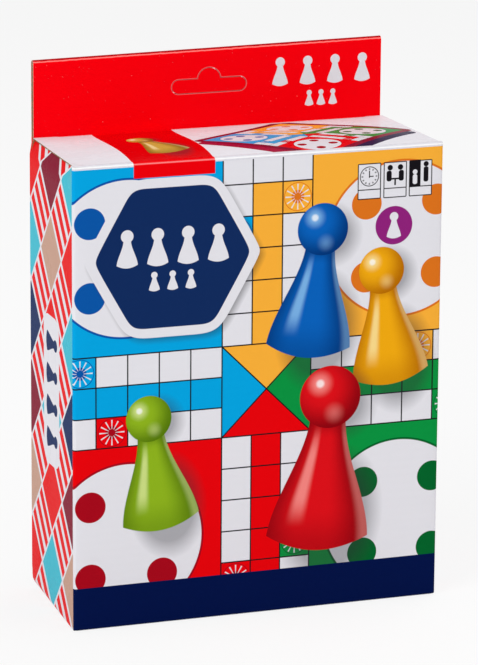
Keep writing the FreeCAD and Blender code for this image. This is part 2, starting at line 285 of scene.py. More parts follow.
def moved(put, place, centre, turn=0.0, scale=(1, 1)):
    """The place as seen from a shape's own middle, turned back by its angle and scaled."""
    away = put("VectorMath", [place, (*centre, 0)], "SUBTRACT")
    settings = {2: (0, 0, -math.radians(turn)), 3: (*scale, 1)}
    return put("Mapping", {0: away, **settings}, vector_type="POINT")


def new_group(name, inputs, outputs):
    """A node group with these sockets, and the function that puts nodes in it."""
    group = bpy.data.node_groups.new(name, "ShaderNodeTree")
    for way, sockets in (("INPUT", inputs), ("OUTPUT", outputs)):
        for label, kind in sockets.items():
            group.interface.new_socket(label, in_out=way, socket_type="NodeSocket" + kind)
    return group, functools.partial(add, group)


# %% [markdown]
# ## The ludo board's plan
# The board is the old cross-and-circle plan: four yards, a cross of three lanes, a coloured home lane in
# each arm and a start square with a rosette. It has the same pattern in each arm, so the print folds the
# four arms onto one and draws the cells once. The group is used for the front, the lid's picture, the back
# and the board itself.

# %% Ludo board print
LANE, CELL = 12.54, 13.13               # width of a lane and length of a cell along an arm
ARM = 1.5 * LANE                        # half the width of an arm
BOARD_HALF = ARM + 6 * CELL
YARD_MIDDLE, YARD_RADIUS, YARD_RIM = 57.8, 31.6, 0.9
SPOT_REACH, SPOT_RADIUS = 15.0, 6.35
YARD_SHIFT = 0.95                       # the yards lie this far to the left of the cross
RULE = 0.55                             # width of the black lines
PETALS, PETAL_START, PETAL_END = 12, 1.5, 5.2
PETAL_ROOT, PETAL_SPREAD = 0.02, 0.05   # half a petal's width at the middle, and its growth on the way out
EYE_RADIUS, RIM_RADIUS, RIM_LINE = 2.7, 5.7, 0.3


def make_ludo_print():
    group, put = new_group("ludo_plan", {"Place": "Vector"}, {"Colour": "Color"})
    x, y, _ = put("SeparateXYZ", [put("NodeGroupInput")], out=None)
    from_middle = [put("Math", [axis], "ABSOLUTE") for axis in (x, y)]
    rightward, upward = (put("Math", [axis, 0], "GREATER_THAN") for axis in (x, y))
    upright = put("Math", [from_middle[1], from_middle[0]], "GREATER_THAN")

    def choose(factor, off, on):
        return tint(put, off, on, factor)

    def by_arm(left, right, bottom, top):
        return choose(upright, choose(rightward, left, right), choose(upward, bottom, top))

    def by_corner(low_left, low_right, high_left, high_right):
        low = choose(rightward, low_left, low_right)
        return choose(upward, low, choose(rightward, high_left, high_right))

    own = by_arm(CYAN, GREEN, RED, ORANGE)
    next_colour = by_arm(RED, ORANGE, GREEN, CYAN)
    yard = by_corner(RED, GREEN, CYAN, ORANGE)
    spots = by_corner(DARK_RED, DARK_GREEN, BLUE, BROWN)

    yard_x = put("Math", [put("Math", [x, YARD_SHIFT], "ADD")], "ABSOLUTE")
    corner = put("CombineXYZ", [
        put("Math", [axis, YARD_MIDDLE], "SUBTRACT") for axis in (yard_x, from_middle[1])])
    ring = disc(put, corner, (0, 0), YARD_RADIUS)
    colour = stamp(put, yard, spots, disc(put, corner, (0, 0), YARD_RADIUS + YARD_RIM))
    colour = stamp(put, colour, WHITE, ring)
    folded = put("VectorMath", [corner], "ABSOLUTE")
    colour = stamp(put, colour, spots, disc(put, folded, (SPOT_REACH, SPOT_REACH), SPOT_RADIUS))

    along = put("Math", from_middle, "MAXIMUM")
    side_way = put("Math", [y, put("Math", [x], "SIGN")], "MULTIPLY")
    side_way = put("Math", [side_way, -1], "MULTIPLY")
    up_way = put("Math", [x, put("Math", [y], "SIGN")], "MULTIPLY")
    across = put("Mix", {0: upright, 2: side_way, 3: up_way}, data_type="FLOAT")
    off_lane = put("Math", [across], "ABSOLUTE")
    beyond = put("Math", [along, ARM], "SUBTRACT")
    outside_arm = put("Math", [off_lane, ARM], "SUBTRACT")
    before_arm = put("Math", [beyond, -1], "MULTIPLY")
    arm_place = put("CombineXYZ", [across, beyond, 0])
    colour = stamp(put, colour, WHITE, both(put, outside_arm, before_arm))
    colour = stamp(put, colour, own, bar(put, arm_place, (0, 2.5 * CELL), (LANE / 2, 2.5 * CELL)))

    right_hand = put("Math", [across, 0], "GREATER_THAN")
    start_row = put("Math", [right_hand, CELL, 3.5 * CELL], "MULTIPLY_ADD")
    from_lane = put("Math", [off_lane, LANE], "SUBTRACT")
    from_row = put("Math", [beyond, start_row], "SUBTRACT")
    start_place = put("CombineXYZ", [from_lane, from_row, 0])
    start_colour = choose(right_hand, next_colour, own)
    colour = stamp(put, colour, start_colour, bar(put, start_place, (0, 0), (LANE / 2, CELL / 2)))
    own_dark = by_arm(BLUE, DARK_GREEN, DARK_RED, BROWN)
    start_dark = choose(right_hand, by_arm(DARK_RED, BROWN, DARK_GREEN, BLUE), own_dark)
    rim = outline(put, disc(put, start_place, (0, 0), RIM_RADIUS), RIM_LINE)
    colour = stamp(put, colour, start_dark, rim)
    colour = stamp(put, colour, start_dark, disc(put, start_place, (0, 0), EYE_RADIUS))
    sx, sy, _ = put("SeparateXYZ", [start_place], out=None)
    reach = put("VectorMath", [start_place], "LENGTH", out="Value")
    turn = put("Math", [sy, sx], "ARCTAN2")
    off_petal = put("Math", [turn, math.pi / PETALS], "PINGPONG")
    off_petal = put("Math", [off_petal, reach], "MULTIPLY")
    leaf = put("Math", [reach, -PETAL_SPREAD, -PETAL_ROOT], "MULTIPLY_ADD")
    petal = put("Math", [off_petal, leaf], "ADD")
    too_near = put("Math", [PETAL_START, reach], "SUBTRACT")
    too_far = put("Math", [reach, PETAL_END], "SUBTRACT")
    colour = stamp(put, colour, WHITE, both(put, petal, too_near, too_far))

    colour = stamp(put, colour, own, beyond)
    cross_lane = put("Math", [across, LANE / 2], "ADD")
    cross_lane = put("Math", [cross_lane, LANE / 2], "PINGPONG")
    cross_cell = put("Math", [beyond, CELL / 2], "PINGPONG")
    nearest = put("Math", [cross_lane, cross_cell], "MINIMUM")
    rule = put("Math", [nearest, RULE / 2], "SUBTRACT")
    inside = put("Math", [outside_arm, RULE / 2], "SUBTRACT")
    after = put("Math", [before_arm, RULE / 2], "SUBTRACT")
    colour = stamp(put, colour, BLACK, both(put, rule, inside, after))
    lean = put("Math", [from_middle[0], from_middle[1]], "SUBTRACT")
    diagonal = outline(put, put("Math", [lean, math.sqrt(0.5)], "MULTIPLY"), RULE)
    colour = stamp(put, colour, BLACK, both(put, diagonal, beyond))
    put("NodeGroupOutput", [colour], out=None)
    return group


ludo_print = make_ludo_print()
print(f"Ludo plan {2 * BOARD_HALF:.0f} mm wide at full size, {len(ludo_print.nodes)} nodes")

# %% [markdown]
# ## A printed pawn
# Large glossy pawns are pictured on the front. A pawn is a ball on a bell-shaped skirt. The group draws one
# that is one unit high, standing on its origin: its edge, its shaded colour with the lamp's reflections,
# and the soft shadow that it throws on the board behind it.

# %% Pawn print, in shares of the pawn's height
HEAD_RADIUS, HEAD_MIDDLE = 0.168, 0.832
FOOT_HALF, NECK_HALF, NECK_HEIGHT = 0.285, 0.098, 0.74
FOOT_CURVE = 1.0            # how strongly the foot's lower edge bows
SHADOW_SHIFT, SHADOW_EDGE, SHADOW_DEPTH = (0.06, -0.035), 0.10, 0.5
PICTURE_PAWN_EDGE = 0.25    # softness of a pictured pawn's edge, in millimetres


def make_pawn_print():
    group, put = new_group(
        "pawn_picture",
        {"Place": "Vector", "Colour": "Color", "Dark": "Color", "Light": "Color"},
        {"Distance": "Float", "Colour": "Color", "Shadow": "Float"},
    )
    place, plain, dark, light, _ = put("NodeGroupInput", out=None)
    x, y, _ = put("SeparateXYZ", [place], out=None)
    half = put("MapRange", [y, 0.04, NECK_HEIGHT, FOOT_HALF, NECK_HALF], interpolation_type="SMOOTHSTEP")
    off_axis = put("Math", [x], "ABSOLUTE")
    bow = put("Math", [put("Math", [x, x], "MULTIPLY"), FOOT_CURVE], "MULTIPLY")
    skirt = both(
        put,
        put("Math", [off_axis, half], "SUBTRACT"),
        put("Math", [bow, y], "SUBTRACT"),
        put("Math", [y, NECK_HEIGHT + 0.02], "SUBTRACT"),
    )
    head = disc(put, place, (0, HEAD_MIDDLE), HEAD_RADIUS)
    distance = put("Math", [skirt, head], "MINIMUM")

    def soft(value, low, high):
        return put("MapRange", [value, low, high, 0, 1], interpolation_type="SMOOTHSTEP")

    share = put("Math", [x, half], "DIVIDE")
    off_light = put("Math", [put("Math", [share, 0.12], "ADD")], "ABSOLUTE")
    body = tint(put, plain, dark, soft(off_light, 0.25, 1.15))
    low_shade = put("Math", [soft(y, 0.25, 0.0), 0.45], "MULTIPLY")
    body = tint(put, body, dark, low_shade)
    streak = put("Math", [put("Math", [share, 0.48], "ADD")], "ABSOLUTE")
    streak = put("Math", [soft(streak, 0.24, 0.05), soft(y, 0.12, 0.3)], "MULTIPLY")
    streak = put("Math", [streak, soft(y, 0.70, 0.5)], "MULTIPLY")
    body = tint(put, body, light, put("Math", [streak, 0.75], "MULTIPLY"))
    bounce = put("Math", [soft(share, 0.72, 0.92), 0.35], "MULTIPLY")
    body = tint(put, body, light, bounce)
    chin = put("Math", [soft(y, 0.60, 0.70), 0.6], "MULTIPLY")
    body = tint(put, body, dark, chin)

    off_glow = put("VectorMath", [place, (-0.05, HEAD_MIDDLE + 0.05, 0)], "DISTANCE", out="Value")
    ball = tint(put, plain, dark, soft(off_glow, 0.06, 0.24))
    glint = put("VectorMath", [place, (-0.062, HEAD_MIDDLE + 0.07, 0)], "DISTANCE", out="Value")
    ball = tint(put, ball, light, put("Math", [soft(glint, 0.085, 0.01), 0.8], "MULTIPLY"))
    ball = tint(put, ball, (1, 1, 1, 1), put("Math", [soft(glint, 0.030, 0.012), 0.7], "MULTIPLY"))
    low_glint = put("VectorMath", [place, (0.03, HEAD_MIDDLE - 0.085, 0)], "DISTANCE", out="Value")
    ball = tint(put, ball, light, put("Math", [soft(low_glint, 0.07, 0.0), 0.35], "MULTIPLY"))
    on_head = put("Math", [head, 0], "LESS_THAN")
    colour = tint(put, body, ball, on_head)

    shadow_place = moved(put, place, SHADOW_SHIFT)
    foot_shadow = moved(put, shadow_place, (0, 0.22), 0, (1, 0.72))
    shadow = put("Math", [
        disc(put, shadow_place, (0, HEAD_MIDDLE), HEAD_RADIUS),
        disc(put, foot_shadow, (0, 0), 0.25)], "MINIMUM")
    put("NodeGroupOutput", [distance, colour, shadow], out=None)
    return group


pawn_print = make_pawn_print()
print(f"Pawn picture, {len(pawn_print.nodes)} nodes")

# %% Pawns on a print
PAWN_TONES = {
    "blue": (ink("0A62BC"), ink("033577"), ink("8CC4F2")),
    "yellow": (ink("F3AB12"), ink("B66A04"), ink("FFE9A0")),
    "green": (ink("8FB51F"), ink("567A0C"), ink("DCEB97")),
    "red": (ink("E0111A"), ink("8A0510"), ink("FF9A94")),
    "gold": (ink("C9A544"), ink("7B5A18"), ink("F4E3A6")),
}


def picture_pawn(put, under, place, colour, foot, height, turn):
    """Stamps a pictured pawn and its shadow on a print."""
    own_place = moved(put, place, foot, turn, (1 / height, 1 / height))
    drawn = put("Group", [own_place, *PAWN_TONES[colour]], out=None, node_tree=pawn_print)
    under = stamp(put, under, ink("2A2A33"), drawn["Shadow"], SHADOW_EDGE, SHADOW_DEPTH)
    return stamp(put, under, drawn["Colour"], drawn["Distance"], edge=PICTURE_PAWN_EDGE / height)


def pawn_row(put, under, place, colour, first_foot, pitch, count, height):
    """A row of plain pawn silhouettes: one is drawn, in a strip that repeats."""
    across, up, _ = put("SeparateXYZ", [moved(put, place, first_foot)], out=None)
    in_row = put("Clamp", [across, -pitch / 2, (count - 0.5) * pitch])
    cell = put("Math", [in_row, pitch / 2], "ADD")
    cell = put("Math", [cell, pitch], "FLOORED_MODULO")
    cell = put("Math", [cell, pitch / 2], "SUBTRACT")
    own_place = moved(put, put("CombineXYZ", [cell, up, 0]), (0, 0), 0, (1 / height, 1 / height))
    drawn = put("Group", [own_place], out="Distance", node_tree=pawn_print)
    return stamp(put, under, colour, drawn, edge=INK_EDGE / height)


print(f"{len(PAWN_TONES)} colours of pictured pawns")

# %% [markdown]
# ## Coated paper
# The outer liner is bright clay-coated paper with a gloss varnish over the inks. It is flat, but the flutes
# below show through as faint lines, the sheet is never quite level, and the varnish is a little uneven.
# Those three make the height and the roughness. The print itself only makes the colour.

# %% Coated paper
FLUTE_PITCH = 3.3           # one wave of the corrugated sheet
FLUTE_SHOW = 0.010          # how far the flutes show through the liner
SHEET_WAVE, SHEET_WAVE_SIZE = 0.05, 30.0
GLOSS, GLOSS_SPREAD, GLOSS_PATCH = 0.27, 0.12, 9.0
VARNISH = 1.06              # refraction: a thin varnish, sunk into the paper, mirrors less than a thick one


def coated_paper(name, draw):
    """Gloss-coated liner. draw(put, x, y, z) gives the print's colour and the way across the flutes."""
    material, put = new_material(name)
    at = in_millimetres(put)
    colour, across = draw(put, *put("SeparateXYZ", [at], out=None))
    phase = put("Math", [across, 2 * math.pi / FLUTE_PITCH], "MULTIPLY")
    washboard = put("Math", [phase], "SINE")
    waves = put("TexNoise", {"Vector": at, "Scale": 1 / SHEET_WAVE_SIZE, "Detail": 2.0})
    waves = put("Math", [waves, SHEET_WAVE], "MULTIPLY")
    height = put("Math", [washboard, FLUTE_SHOW, waves], "MULTIPLY_ADD")
    patches = put("TexNoise", {"Vector": at, "Scale": 1 / GLOSS_PATCH, "Detail": 4.0})
    roughness = put("MapRange", [patches, 0.3, 0.7, GLOSS - GLOSS_SPREAD / 2, GLOSS + GLOSS_SPREAD / 2])
    surface(put, colour, roughness, height, 1.0, VARNISH)
    print(f"{name}: {len(material.node_tree.nodes)} nodes")
    return material


# %% [markdown]
# ## The front's print
# The ludo plan fills the front and runs off its edges. Over it lie a navy six-sided plate with a white
# border, a red band that comes down from the lid, a navy strip at the foot, three small cards with signs, a
# purple dot and four large pictured pawns. The plate carries two rows of plain pawn shapes.

# %% Places and sizes on the front
PLAN_MIDDLE = (3.1, 94.1)
STRIP_TOP = 17.9
BAND_LEFT, BAND_RIGHT, BAND_LOW, BAND_REACH = -52.6, -19.0, 183.8, 100.0
PLATE_MIDDLE, PLATE_HALF, PLATE_TOP_HALF, PLATE_BORDER = (-36.4, 151.2), (32.9, 28.4), 16.75, 3.85
PLATE_TIP = 2.0                         # how softly the points at the plate's sides are rounded
PLATE_ROUND, BORDER_ROUND = 6.0, 10.0   # how softly its other corners are rounded
SHADE_SHIFT, SHADE_EDGE = (1.3, -1.5), 3.0
PLATE_ROWS = (                          # first foot, pitch, count and height of each row of pawn shapes
    ((-55.3, 148.0), 12.6, 4, 15.4),
    ((-44.1, 137.9), 7.6, 3, 7.9),
)
DOT_MIDDLE, DOT_RADIUS = (56.7, 157.4), 7.9
DOT_ROW = ((56.7, 152.0), 12.0, 1, 10.8)
FRONT_PAWNS = (                         # colour, middle of the foot, height and lean in degrees
    ("blue", (20.0, 105.5), 63.5, -7.0),
    ("yellow", (56.7, 91.6), 57.5, 6.0),
    ("green", (-40.6, 39.2), 56.5, 7.0),
    ("red", (24.8, 24.3), 77.3, -5.0),
)
CARD_MIDDLES = ((45.9, 176.1), (56.9, 176.1), (67.8, 176.1))
CARD_HALF, CARD_CORNER, CARD_LINE = (4.76, 7.14), 0.3, 0.42
CLOCK_RISE, CLOCK_RADIUS, CLOCK_LINE = 2.0, 3.9, 0.35
TICKS, TICK_HALF, TICK_RADIUS, TICK_LENGTH = 12, 0.07, 3.0, 0.7
CARD_BARS = (                           # card, middle seen from the card's own, half size and corner radius
    (0, (0, -3.4), (CARD_HALF[0], 0.21), 0.2),          # a rule under each sign
    (1, (0, -3.4), (CARD_HALF[0], 0.21), 0.2),
    (2, (0, -3.4), (CARD_HALF[0], 0.21), 0.2),
    (0, (0, CLOCK_RISE + 0.9), (0.22, 1.5), 0.2),       # the clock's hands
    (0, (0.8, CLOCK_RISE), (1.0, 0.22), 0.2),
    (1, (-2.6, 1.6), (1.1, 2.2), 0.9),                  # two players
    (1, (2.6, 1.6), (1.1, 2.2), 0.9),
    (1, (0, 0.4), (1.9, 0.35), 0.2),                    # their table
    (1, (0, -0.9), (0.35, 1.4), 0.2),
    (2, (-2.4, 2.1), (2.4, 5.4), 0.2),                  # the dark ground behind the child
    (2, (2.3, 1.4), (1.05, 3.1), 0.8),                  # the grown-up
)
CARD_DISCS = ((1, (-2.2, 5.0), 1.15), (1, (2.2, 5.0), 1.15), (2, (2.3, 5.6), 1.1))      # heads
CHILD_HEAD, CHILD_BODY = ((-2.4, 2.6), 1.0), ((-2.4, -0.4), (0.95, 2.0), 0.8)
print(f"{len(FRONT_PAWNS)} pawns and {len(CARD_MIDDLES)} cards on the front")


# %% Plate and cards
def six_sided_plate(put, place, rounding, border=0.0):
    """Distance from a plate with level top and bottom edges and rounded points at its sides."""
    across, up, _ = put("SeparateXYZ", [moved(put, place, PLATE_MIDDLE)], out=None)
    across = put("Math", [across], "ABSOLUTE")
    up = put("Math", [up, up, PLATE_TIP ** 2], "MULTIPLY_ADD")
    up = put("Math", [up], "SQRT")
    slope = Vector((PLATE_HALF[1], PLATE_HALF[0] - PLATE_TOP_HALF)).normalized()
    slant = put("Math", [up, slope.y, -slope.x * PLATE_HALF[0]], "MULTIPLY_ADD")
    slant = put("Math", [across, slope.x, slant], "MULTIPLY_ADD")
    level = put("Math", [up, PLATE_HALF[1]], "SUBTRACT")
    plate = put("Math", [slant, level, rounding], "SMOOTH_MAX")
    return put("Math", [plate, border], "SUBTRACT")


def sign_cards(put, colour, place):
    """Three cards: a clock, two players at a table, and a child beside a grown-up."""
    on_card = [moved(put, place, middle) for middle in CARD_MIDDLES]
    for own_place in on_card:
        card = bar(put, own_place, (0, 0), CARD_HALF, CARD_CORNER)
        colour = stamp(put, colour, WHITE, card)
        colour = stamp(put, colour, BLACK, outline(put, card, CARD_LINE))
    clock = moved(put, on_card[0], (0, CLOCK_RISE))
    across, up, _ = put("SeparateXYZ", [clock], out=None)
    turn = put("Math", [up, across], "ARCTAN2")
    off_tick = put("Math", [turn, math.pi / TICKS], "PINGPONG")
    tick = put("Math", [off_tick, TICK_HALF], "SUBTRACT")
    shapes = [
        outline(put, disc(put, clock, (0, 0), CLOCK_RADIUS), CLOCK_LINE),
        both(put, tick, outline(put, disc(put, clock, (0, 0), TICK_RADIUS), TICK_LENGTH)),
    ]
    shapes += [bar(put, on_card[card], *shape) for card, *shape in CARD_BARS]
    shapes += [disc(put, on_card[card], *shape) for card, *shape in CARD_DISCS]
    for shape in shapes:
        colour = stamp(put, colour, BLACK, shape)
    colour = stamp(put, colour, WHITE, disc(put, on_card[2], *CHILD_HEAD))
    return stamp(put, colour, WHITE, bar(put, on_card[2], *CHILD_BODY))


# %% Front print
def red_band(put, place, low):
    """The band that runs over the lid and down the front, from this level upward."""
    half = (BAND_RIGHT - BAND_LEFT) / 2
    return bar(put, place, (BAND_LEFT + half, low + BAND_REACH), (half, BAND_REACH))


def draw_front(put, x, y, z):
    place = put("CombineXYZ", [x, z, 0])
    colour = put("Group", [moved(put, place, PLAN_MIDDLE)], node_tree=ludo_print)
    colour = sign_cards(put, colour, place)
    colour = stamp(put, colour, PURPLE, disc(put, place, DOT_MIDDLE, DOT_RADIUS))
    colour = pawn_row(put, colour, place, WHITE, *DOT_ROW)
    for pawn in FRONT_PAWNS:
        colour = picture_pawn(put, colour, place, *pawn)
    shade = six_sided_plate(put, moved(put, place, SHADE_SHIFT), BORDER_ROUND, PLATE_BORDER)
    colour = stamp(put, colour, ink("23232C"), shade, edge=SHADE_EDGE, strength=0.55)
    colour = stamp(put, colour, WHITE, six_sided_plate(put, place, BORDER_ROUND, PLATE_BORDER))
    colour = stamp(put, colour, NAVY, six_sided_plate(put, place, PLATE_ROUND))
    for row in PLATE_ROWS:
        colour = pawn_row(put, colour, place, WHITE, *row)
    colour = stamp(put, colour, BAND_RED, red_band(put, place, BAND_LOW))
    strip = put("Math", [z, STRIP_TOP], "SUBTRACT")
    return stamp(put, colour, STRIP_NAVY, strip), z


front_print = coated_paper("coated_liner_front_print", draw_front)

# %% [markdown]
# ## The sides, lid, tab and back
# The sides have a lively pattern of slanted tiles, some striped and some plain, with white seams, and a
# white plate with pawn shapes. The pattern follows the sheet over the soft folds at the top and foot: there
# the distance inward is added to the height or taken from it. The lid is white, with the red band, a gold
# pawn and a picture of the board seen at a slant, and the paper over its fold has a pale painted highlight
# along the crest. The tab is plain red with white pawn shapes, fine pale specks and a pale line where the
# hang slot was cut; its folded top has a painted highlight with painted shade above it. The back, which the
# photograph doesn't show, repeats the plan at a smaller size.

# %% Side print
TILE_HALF, SEAM, STRIPES, STRIPE_HALF = (14.0, 16.5), 1.1, 3, 0.21
SIDE_PLATE_MIDDLE, SIDE_PLATE_HALF, SIDE_PLATE_CORNER = (0.0, 92.0), (10.5, 31.0), 6.0
SIDE_ROW = ((-20.0, -7.0), 13.3, 4, 15.0)
TILE_INKS = (TEAL, RED, NAVY, TEAL, MAROON, RED, TAN)


def draw_side(put, x, y, z):
    from_middle = put("Math", [x], "ABSOLUTE")
    inward = put("Math", [half_width, from_middle], "SUBTRACT")
    above_middle = put("Math", [z, box_height / 2], "SUBTRACT")
    which_end = put("Math", [above_middle], "SIGN")
    height = put("Math", [inward, which_end, z], "MULTIPLY_ADD")
    place = put("CombineXYZ", [y, height, 0])
    u = put("Math", [y, 0.5 / TILE_HALF[0]], "MULTIPLY")
    v = put("Math", [height, 0.5 / TILE_HALF[1]], "MULTIPLY")
    rising = put("Math", [u, v], "ADD")
    falling = put("Math", [v, u], "SUBTRACT")
    row = put("Math", [rising], "FLOOR")
    column = put("Math", [falling], "FLOOR")
    mixed = put("Math", [column, 2], "MULTIPLY")
    mixed = put("Math", [row, 3, mixed], "MULTIPLY_ADD")
    pick = put("Math", [mixed, len(TILE_INKS)], "FLOORED_MODULO")
    pick = put("Math", [pick, 1 / len(TILE_INKS), 0.01], "MULTIPLY_ADD")
    stops = [(i / len(TILE_INKS), colour) for i, colour in enumerate(TILE_INKS)]
    ramp = put("ValToRGB", [pick], stops=stops)
    ramp.node.color_ramp.interpolation = "CONSTANT"
    seam_pitch = 2 * TILE_HALF[0] * TILE_HALF[1] / math.hypot(*TILE_HALF)
    stripe = put("Math", [falling, STRIPES], "MULTIPLY")
    stripe = put("Math", [stripe, 0.5], "PINGPONG")
    stripe = put("Math", [stripe, STRIPE_HALF], "SUBTRACT")
    stripe = put("Math", [stripe, seam_pitch / STRIPES], "MULTIPLY")
    odd = put("Math", [row, column], "ADD")
    odd = put("Math", [odd, 2], "FLOORED_MODULO")
    colour = tint(put, ramp, stamp(put, RED, WHITE, stripe), odd)
    for slant in (rising, falling):
        seam = put("Math", [slant, 0.5], "PINGPONG")
        seam = put("Math", [seam, seam_pitch, -SEAM / 2], "MULTIPLY_ADD")
        colour = stamp(put, colour, WHITE, seam)
    plate = bar(put, place, SIDE_PLATE_MIDDLE, SIDE_PLATE_HALF, SIDE_PLATE_CORNER)
    colour = stamp(put, colour, WHITE, plate)
    turned = moved(put, place, SIDE_PLATE_MIDDLE, 90)
    return pawn_row(put, colour, turned, NAVY, *SIDE_ROW), height


side_print = coated_paper("coated_liner_side_print", draw_side)

# %% Lid print
PICTURE_MIDDLE, PICTURE_HALF = (27.2, -4.7), (48.0, 31.0)
PICTURE_FRAME, PICTURE_THICK, PICTURE_CORNER, PICTURE_EDGE = 12.0, 5.0, 14.0, 0.5
LID_PAWN = ("gold", (-32.9, -19.5), 32.0, 12.0)
LID_BAND_SHIFT = (-0.1, 0.0)            # the band lies a hair further left here than on the front


def draw_lid(put, x, y, z):
    place = put("CombineXYZ", [x, y, 0])
    half = BOARD_HALF + PICTURE_FRAME
    scale = [half * math.sqrt(2) / reach for reach in PICTURE_HALF]
    under = (PICTURE_MIDDLE[0], PICTURE_MIDDLE[1] - PICTURE_THICK)
    seen, seen_under = (moved(put, place, middle, 45, scale) for middle in (PICTURE_MIDDLE, under))
    right_half = put("Math", [x, PICTURE_MIDDLE[0]], "GREATER_THAN")
    edge_ink = tint(put, ink("A3143A"), ink("2B1A42"), right_half)
    plan = put("Group", [seen], node_tree=ludo_print)
    colour = WHITE
    for layer, shape in (
        (edge_ink, bar(put, seen_under, (0, 0), (half, half), PICTURE_CORNER)),
        (MAROON, bar(put, seen, (0, 0), (half, half), PICTURE_CORNER)),
        (plan, bar(put, seen, (0, 0), (BOARD_HALF, BOARD_HALF))),
    ):
        colour = stamp(put, colour, layer, shape, edge=PICTURE_EDGE)
    band = red_band(put, moved(put, place, LID_BAND_SHIFT), -BAND_REACH)
    colour = stamp(put, colour, LID_RED, band)
    return picture_pawn(put, colour, place, *LID_PAWN), y


lid_print = coated_paper("coated_liner_lid_print", draw_lid)

# %% Tab print
SLOT_HALF, SLOT_RADIUS, BUMP_RADIUS, BUMP_RISE, SLOT_LINE = 16.0, 3.0, 5.0, 4.4, 0.5
plug_gap = SLOT_HALF - (plug_high.x - plug_low.x) / 2
slot_x = (plug_low.x + plug_high.x) / 2
slot_middle = plug_low.z - plug_gap + SLOT_RADIUS
bump_middle = slot_middle + SLOT_RADIUS + BUMP_RISE - BUMP_RADIUS
SPECK_SIZE, SPECK_LEVEL = 0.5, 0.79     # size of the bare specks, and the noise above which they lie
FOLD_SHADE, HIGHLIGHT_DEPTH = 0.40, 0.75         # depth below the tab's top of the painted shade on the fold's crest and of the painted highlight
HIGHLIGHT_WIDTH, FOLD_WANDER = 0.30, 0.5       # width of the painted highlight, and how far both lines wander
TAB_SLOPE = 1.7                         # its top was folded a little askew, lower at the left
TAB_TRIM = (1.1, 0.8)                   # cut off its left and right ends
tab_left, tab_right = -half_width + TAB_TRIM[0], tab_high.x - TAB_TRIM[1]
TAB_ROWS = (
    ((28.3, 204.8), 11.9, 4, 11.9),
    ((41.0, 195.9), 5.15, 3, 6.55),
)


def draw_tab(put, x, y, z):
    place = put("CombineXYZ", [x, z, 0])
    colour = TAB_RED
    for row in TAB_ROWS:
        colour = pawn_row(put, colour, place, WHITE, *row)
    slot = bar(put, place, (slot_x, slot_middle), (SLOT_HALF, SLOT_RADIUS), SLOT_RADIUS)
    bump = disc(put, place, (slot_x, bump_middle), BUMP_RADIUS)
    cut = outline(put, put("Math", [slot, bump], "MINIMUM"), SLOT_LINE)
    colour = stamp(put, colour, ink("F08080"), cut, strength=0.8)
    specks = put("TexNoise", {"Vector": place, "Scale": 1 / SPECK_SIZE, "Detail": 1.0})
    bare = put("Math", [SPECK_LEVEL, specks], "SUBTRACT")
    colour = stamp(put, colour, ink("FFC9C4"), bare, edge=0.04)
    # The folded top gets a painted highlight where the bend catches the light, and painted shade above it on
    # the crest.
    uneven_noise = put("TexNoise", {"Vector": place, "Scale": 0.4, "Detail": 5.0})
    uneven_noise = put("Math", [uneven_noise, 0.5], "SUBTRACT")
    slope = TAB_SLOPE / (tab_right - tab_left)
    top = put("Math", [x, slope, tab_top - slope * tab_right], "MULTIPLY_ADD")
    below_top = put("Math", [top, z], "SUBTRACT")
    below_top = put("Math", [uneven_noise, FOLD_WANDER, below_top], "MULTIPLY_ADD")
    painted_highlight = outline(put, put("Math", [below_top, HIGHLIGHT_DEPTH], "SUBTRACT"), HIGHLIGHT_WIDTH)
    colour = stamp(put, colour, ink("FFB0A8"), painted_highlight, edge=0.3, strength=0.7)
    shaded = put("Math", [below_top, FOLD_SHADE], "SUBTRACT")
    return stamp(put, colour, ink("8A0810"), shaded, edge=0.2, strength=0.8), z


tab_print = coated_paper("coated_liner_red_tab", draw_tab)

# %% Back print
BACK_PLAN_MIDDLE, BACK_PLAN_HALF = (0.0, 104.0), 62.0
BACK_FRAME, BACK_CORNER = 4.0, 5.0


def draw_back(put, x, y, z):
    place = put("CombineXYZ", [put("Math", [x, -1], "MULTIPLY"), z, 0])
    scale = BOARD_HALF / BACK_PLAN_HALF
    drawn = moved(put, place, BACK_PLAN_MIDDLE, 0, (scale, scale))
    plan = put("Group", [drawn], node_tree=ludo_print)
    framed = BOARD_HALF + BACK_FRAME
    colour = stamp(put, WHITE, NAVY, bar(put, drawn, (0, 0), (framed, framed), BACK_CORNER))
    colour = stamp(put, colour, plan, bar(put, drawn, (0, 0), (BOARD_HALF, BOARD_HALF)))
    strip = put("Math", [z, STRIP_TOP], "SUBTRACT")
    colour = stamp(put, colour, STRIP_NAVY, strip)
    tab = put("Math", [box_height, z], "SUBTRACT")
    return stamp(put, colour, TAB_RED, tab), z


back_print = coated_paper("coated_liner_back_print", draw_back)


# %% Plain paper, and the paper over the lid's fold
def draw_plain(put, x, y, z):
    return tint(put, WHITE, ink("E2E0E4"), put("TexNoise", {"Scale": 40.0})), y


plain_liner = coated_paper("coated_liner_plain", draw_plain)
CREST, CREST_WIDTH = box_height - 0.6, 0.4              # where the fold catches the light, drawn as a painted highlight
PAPER_HIGHLIGHT, RED_HIGHLIGHT = 0.9, 0.26                          # how pale the painted highlight makes it, on bare paper and on the band


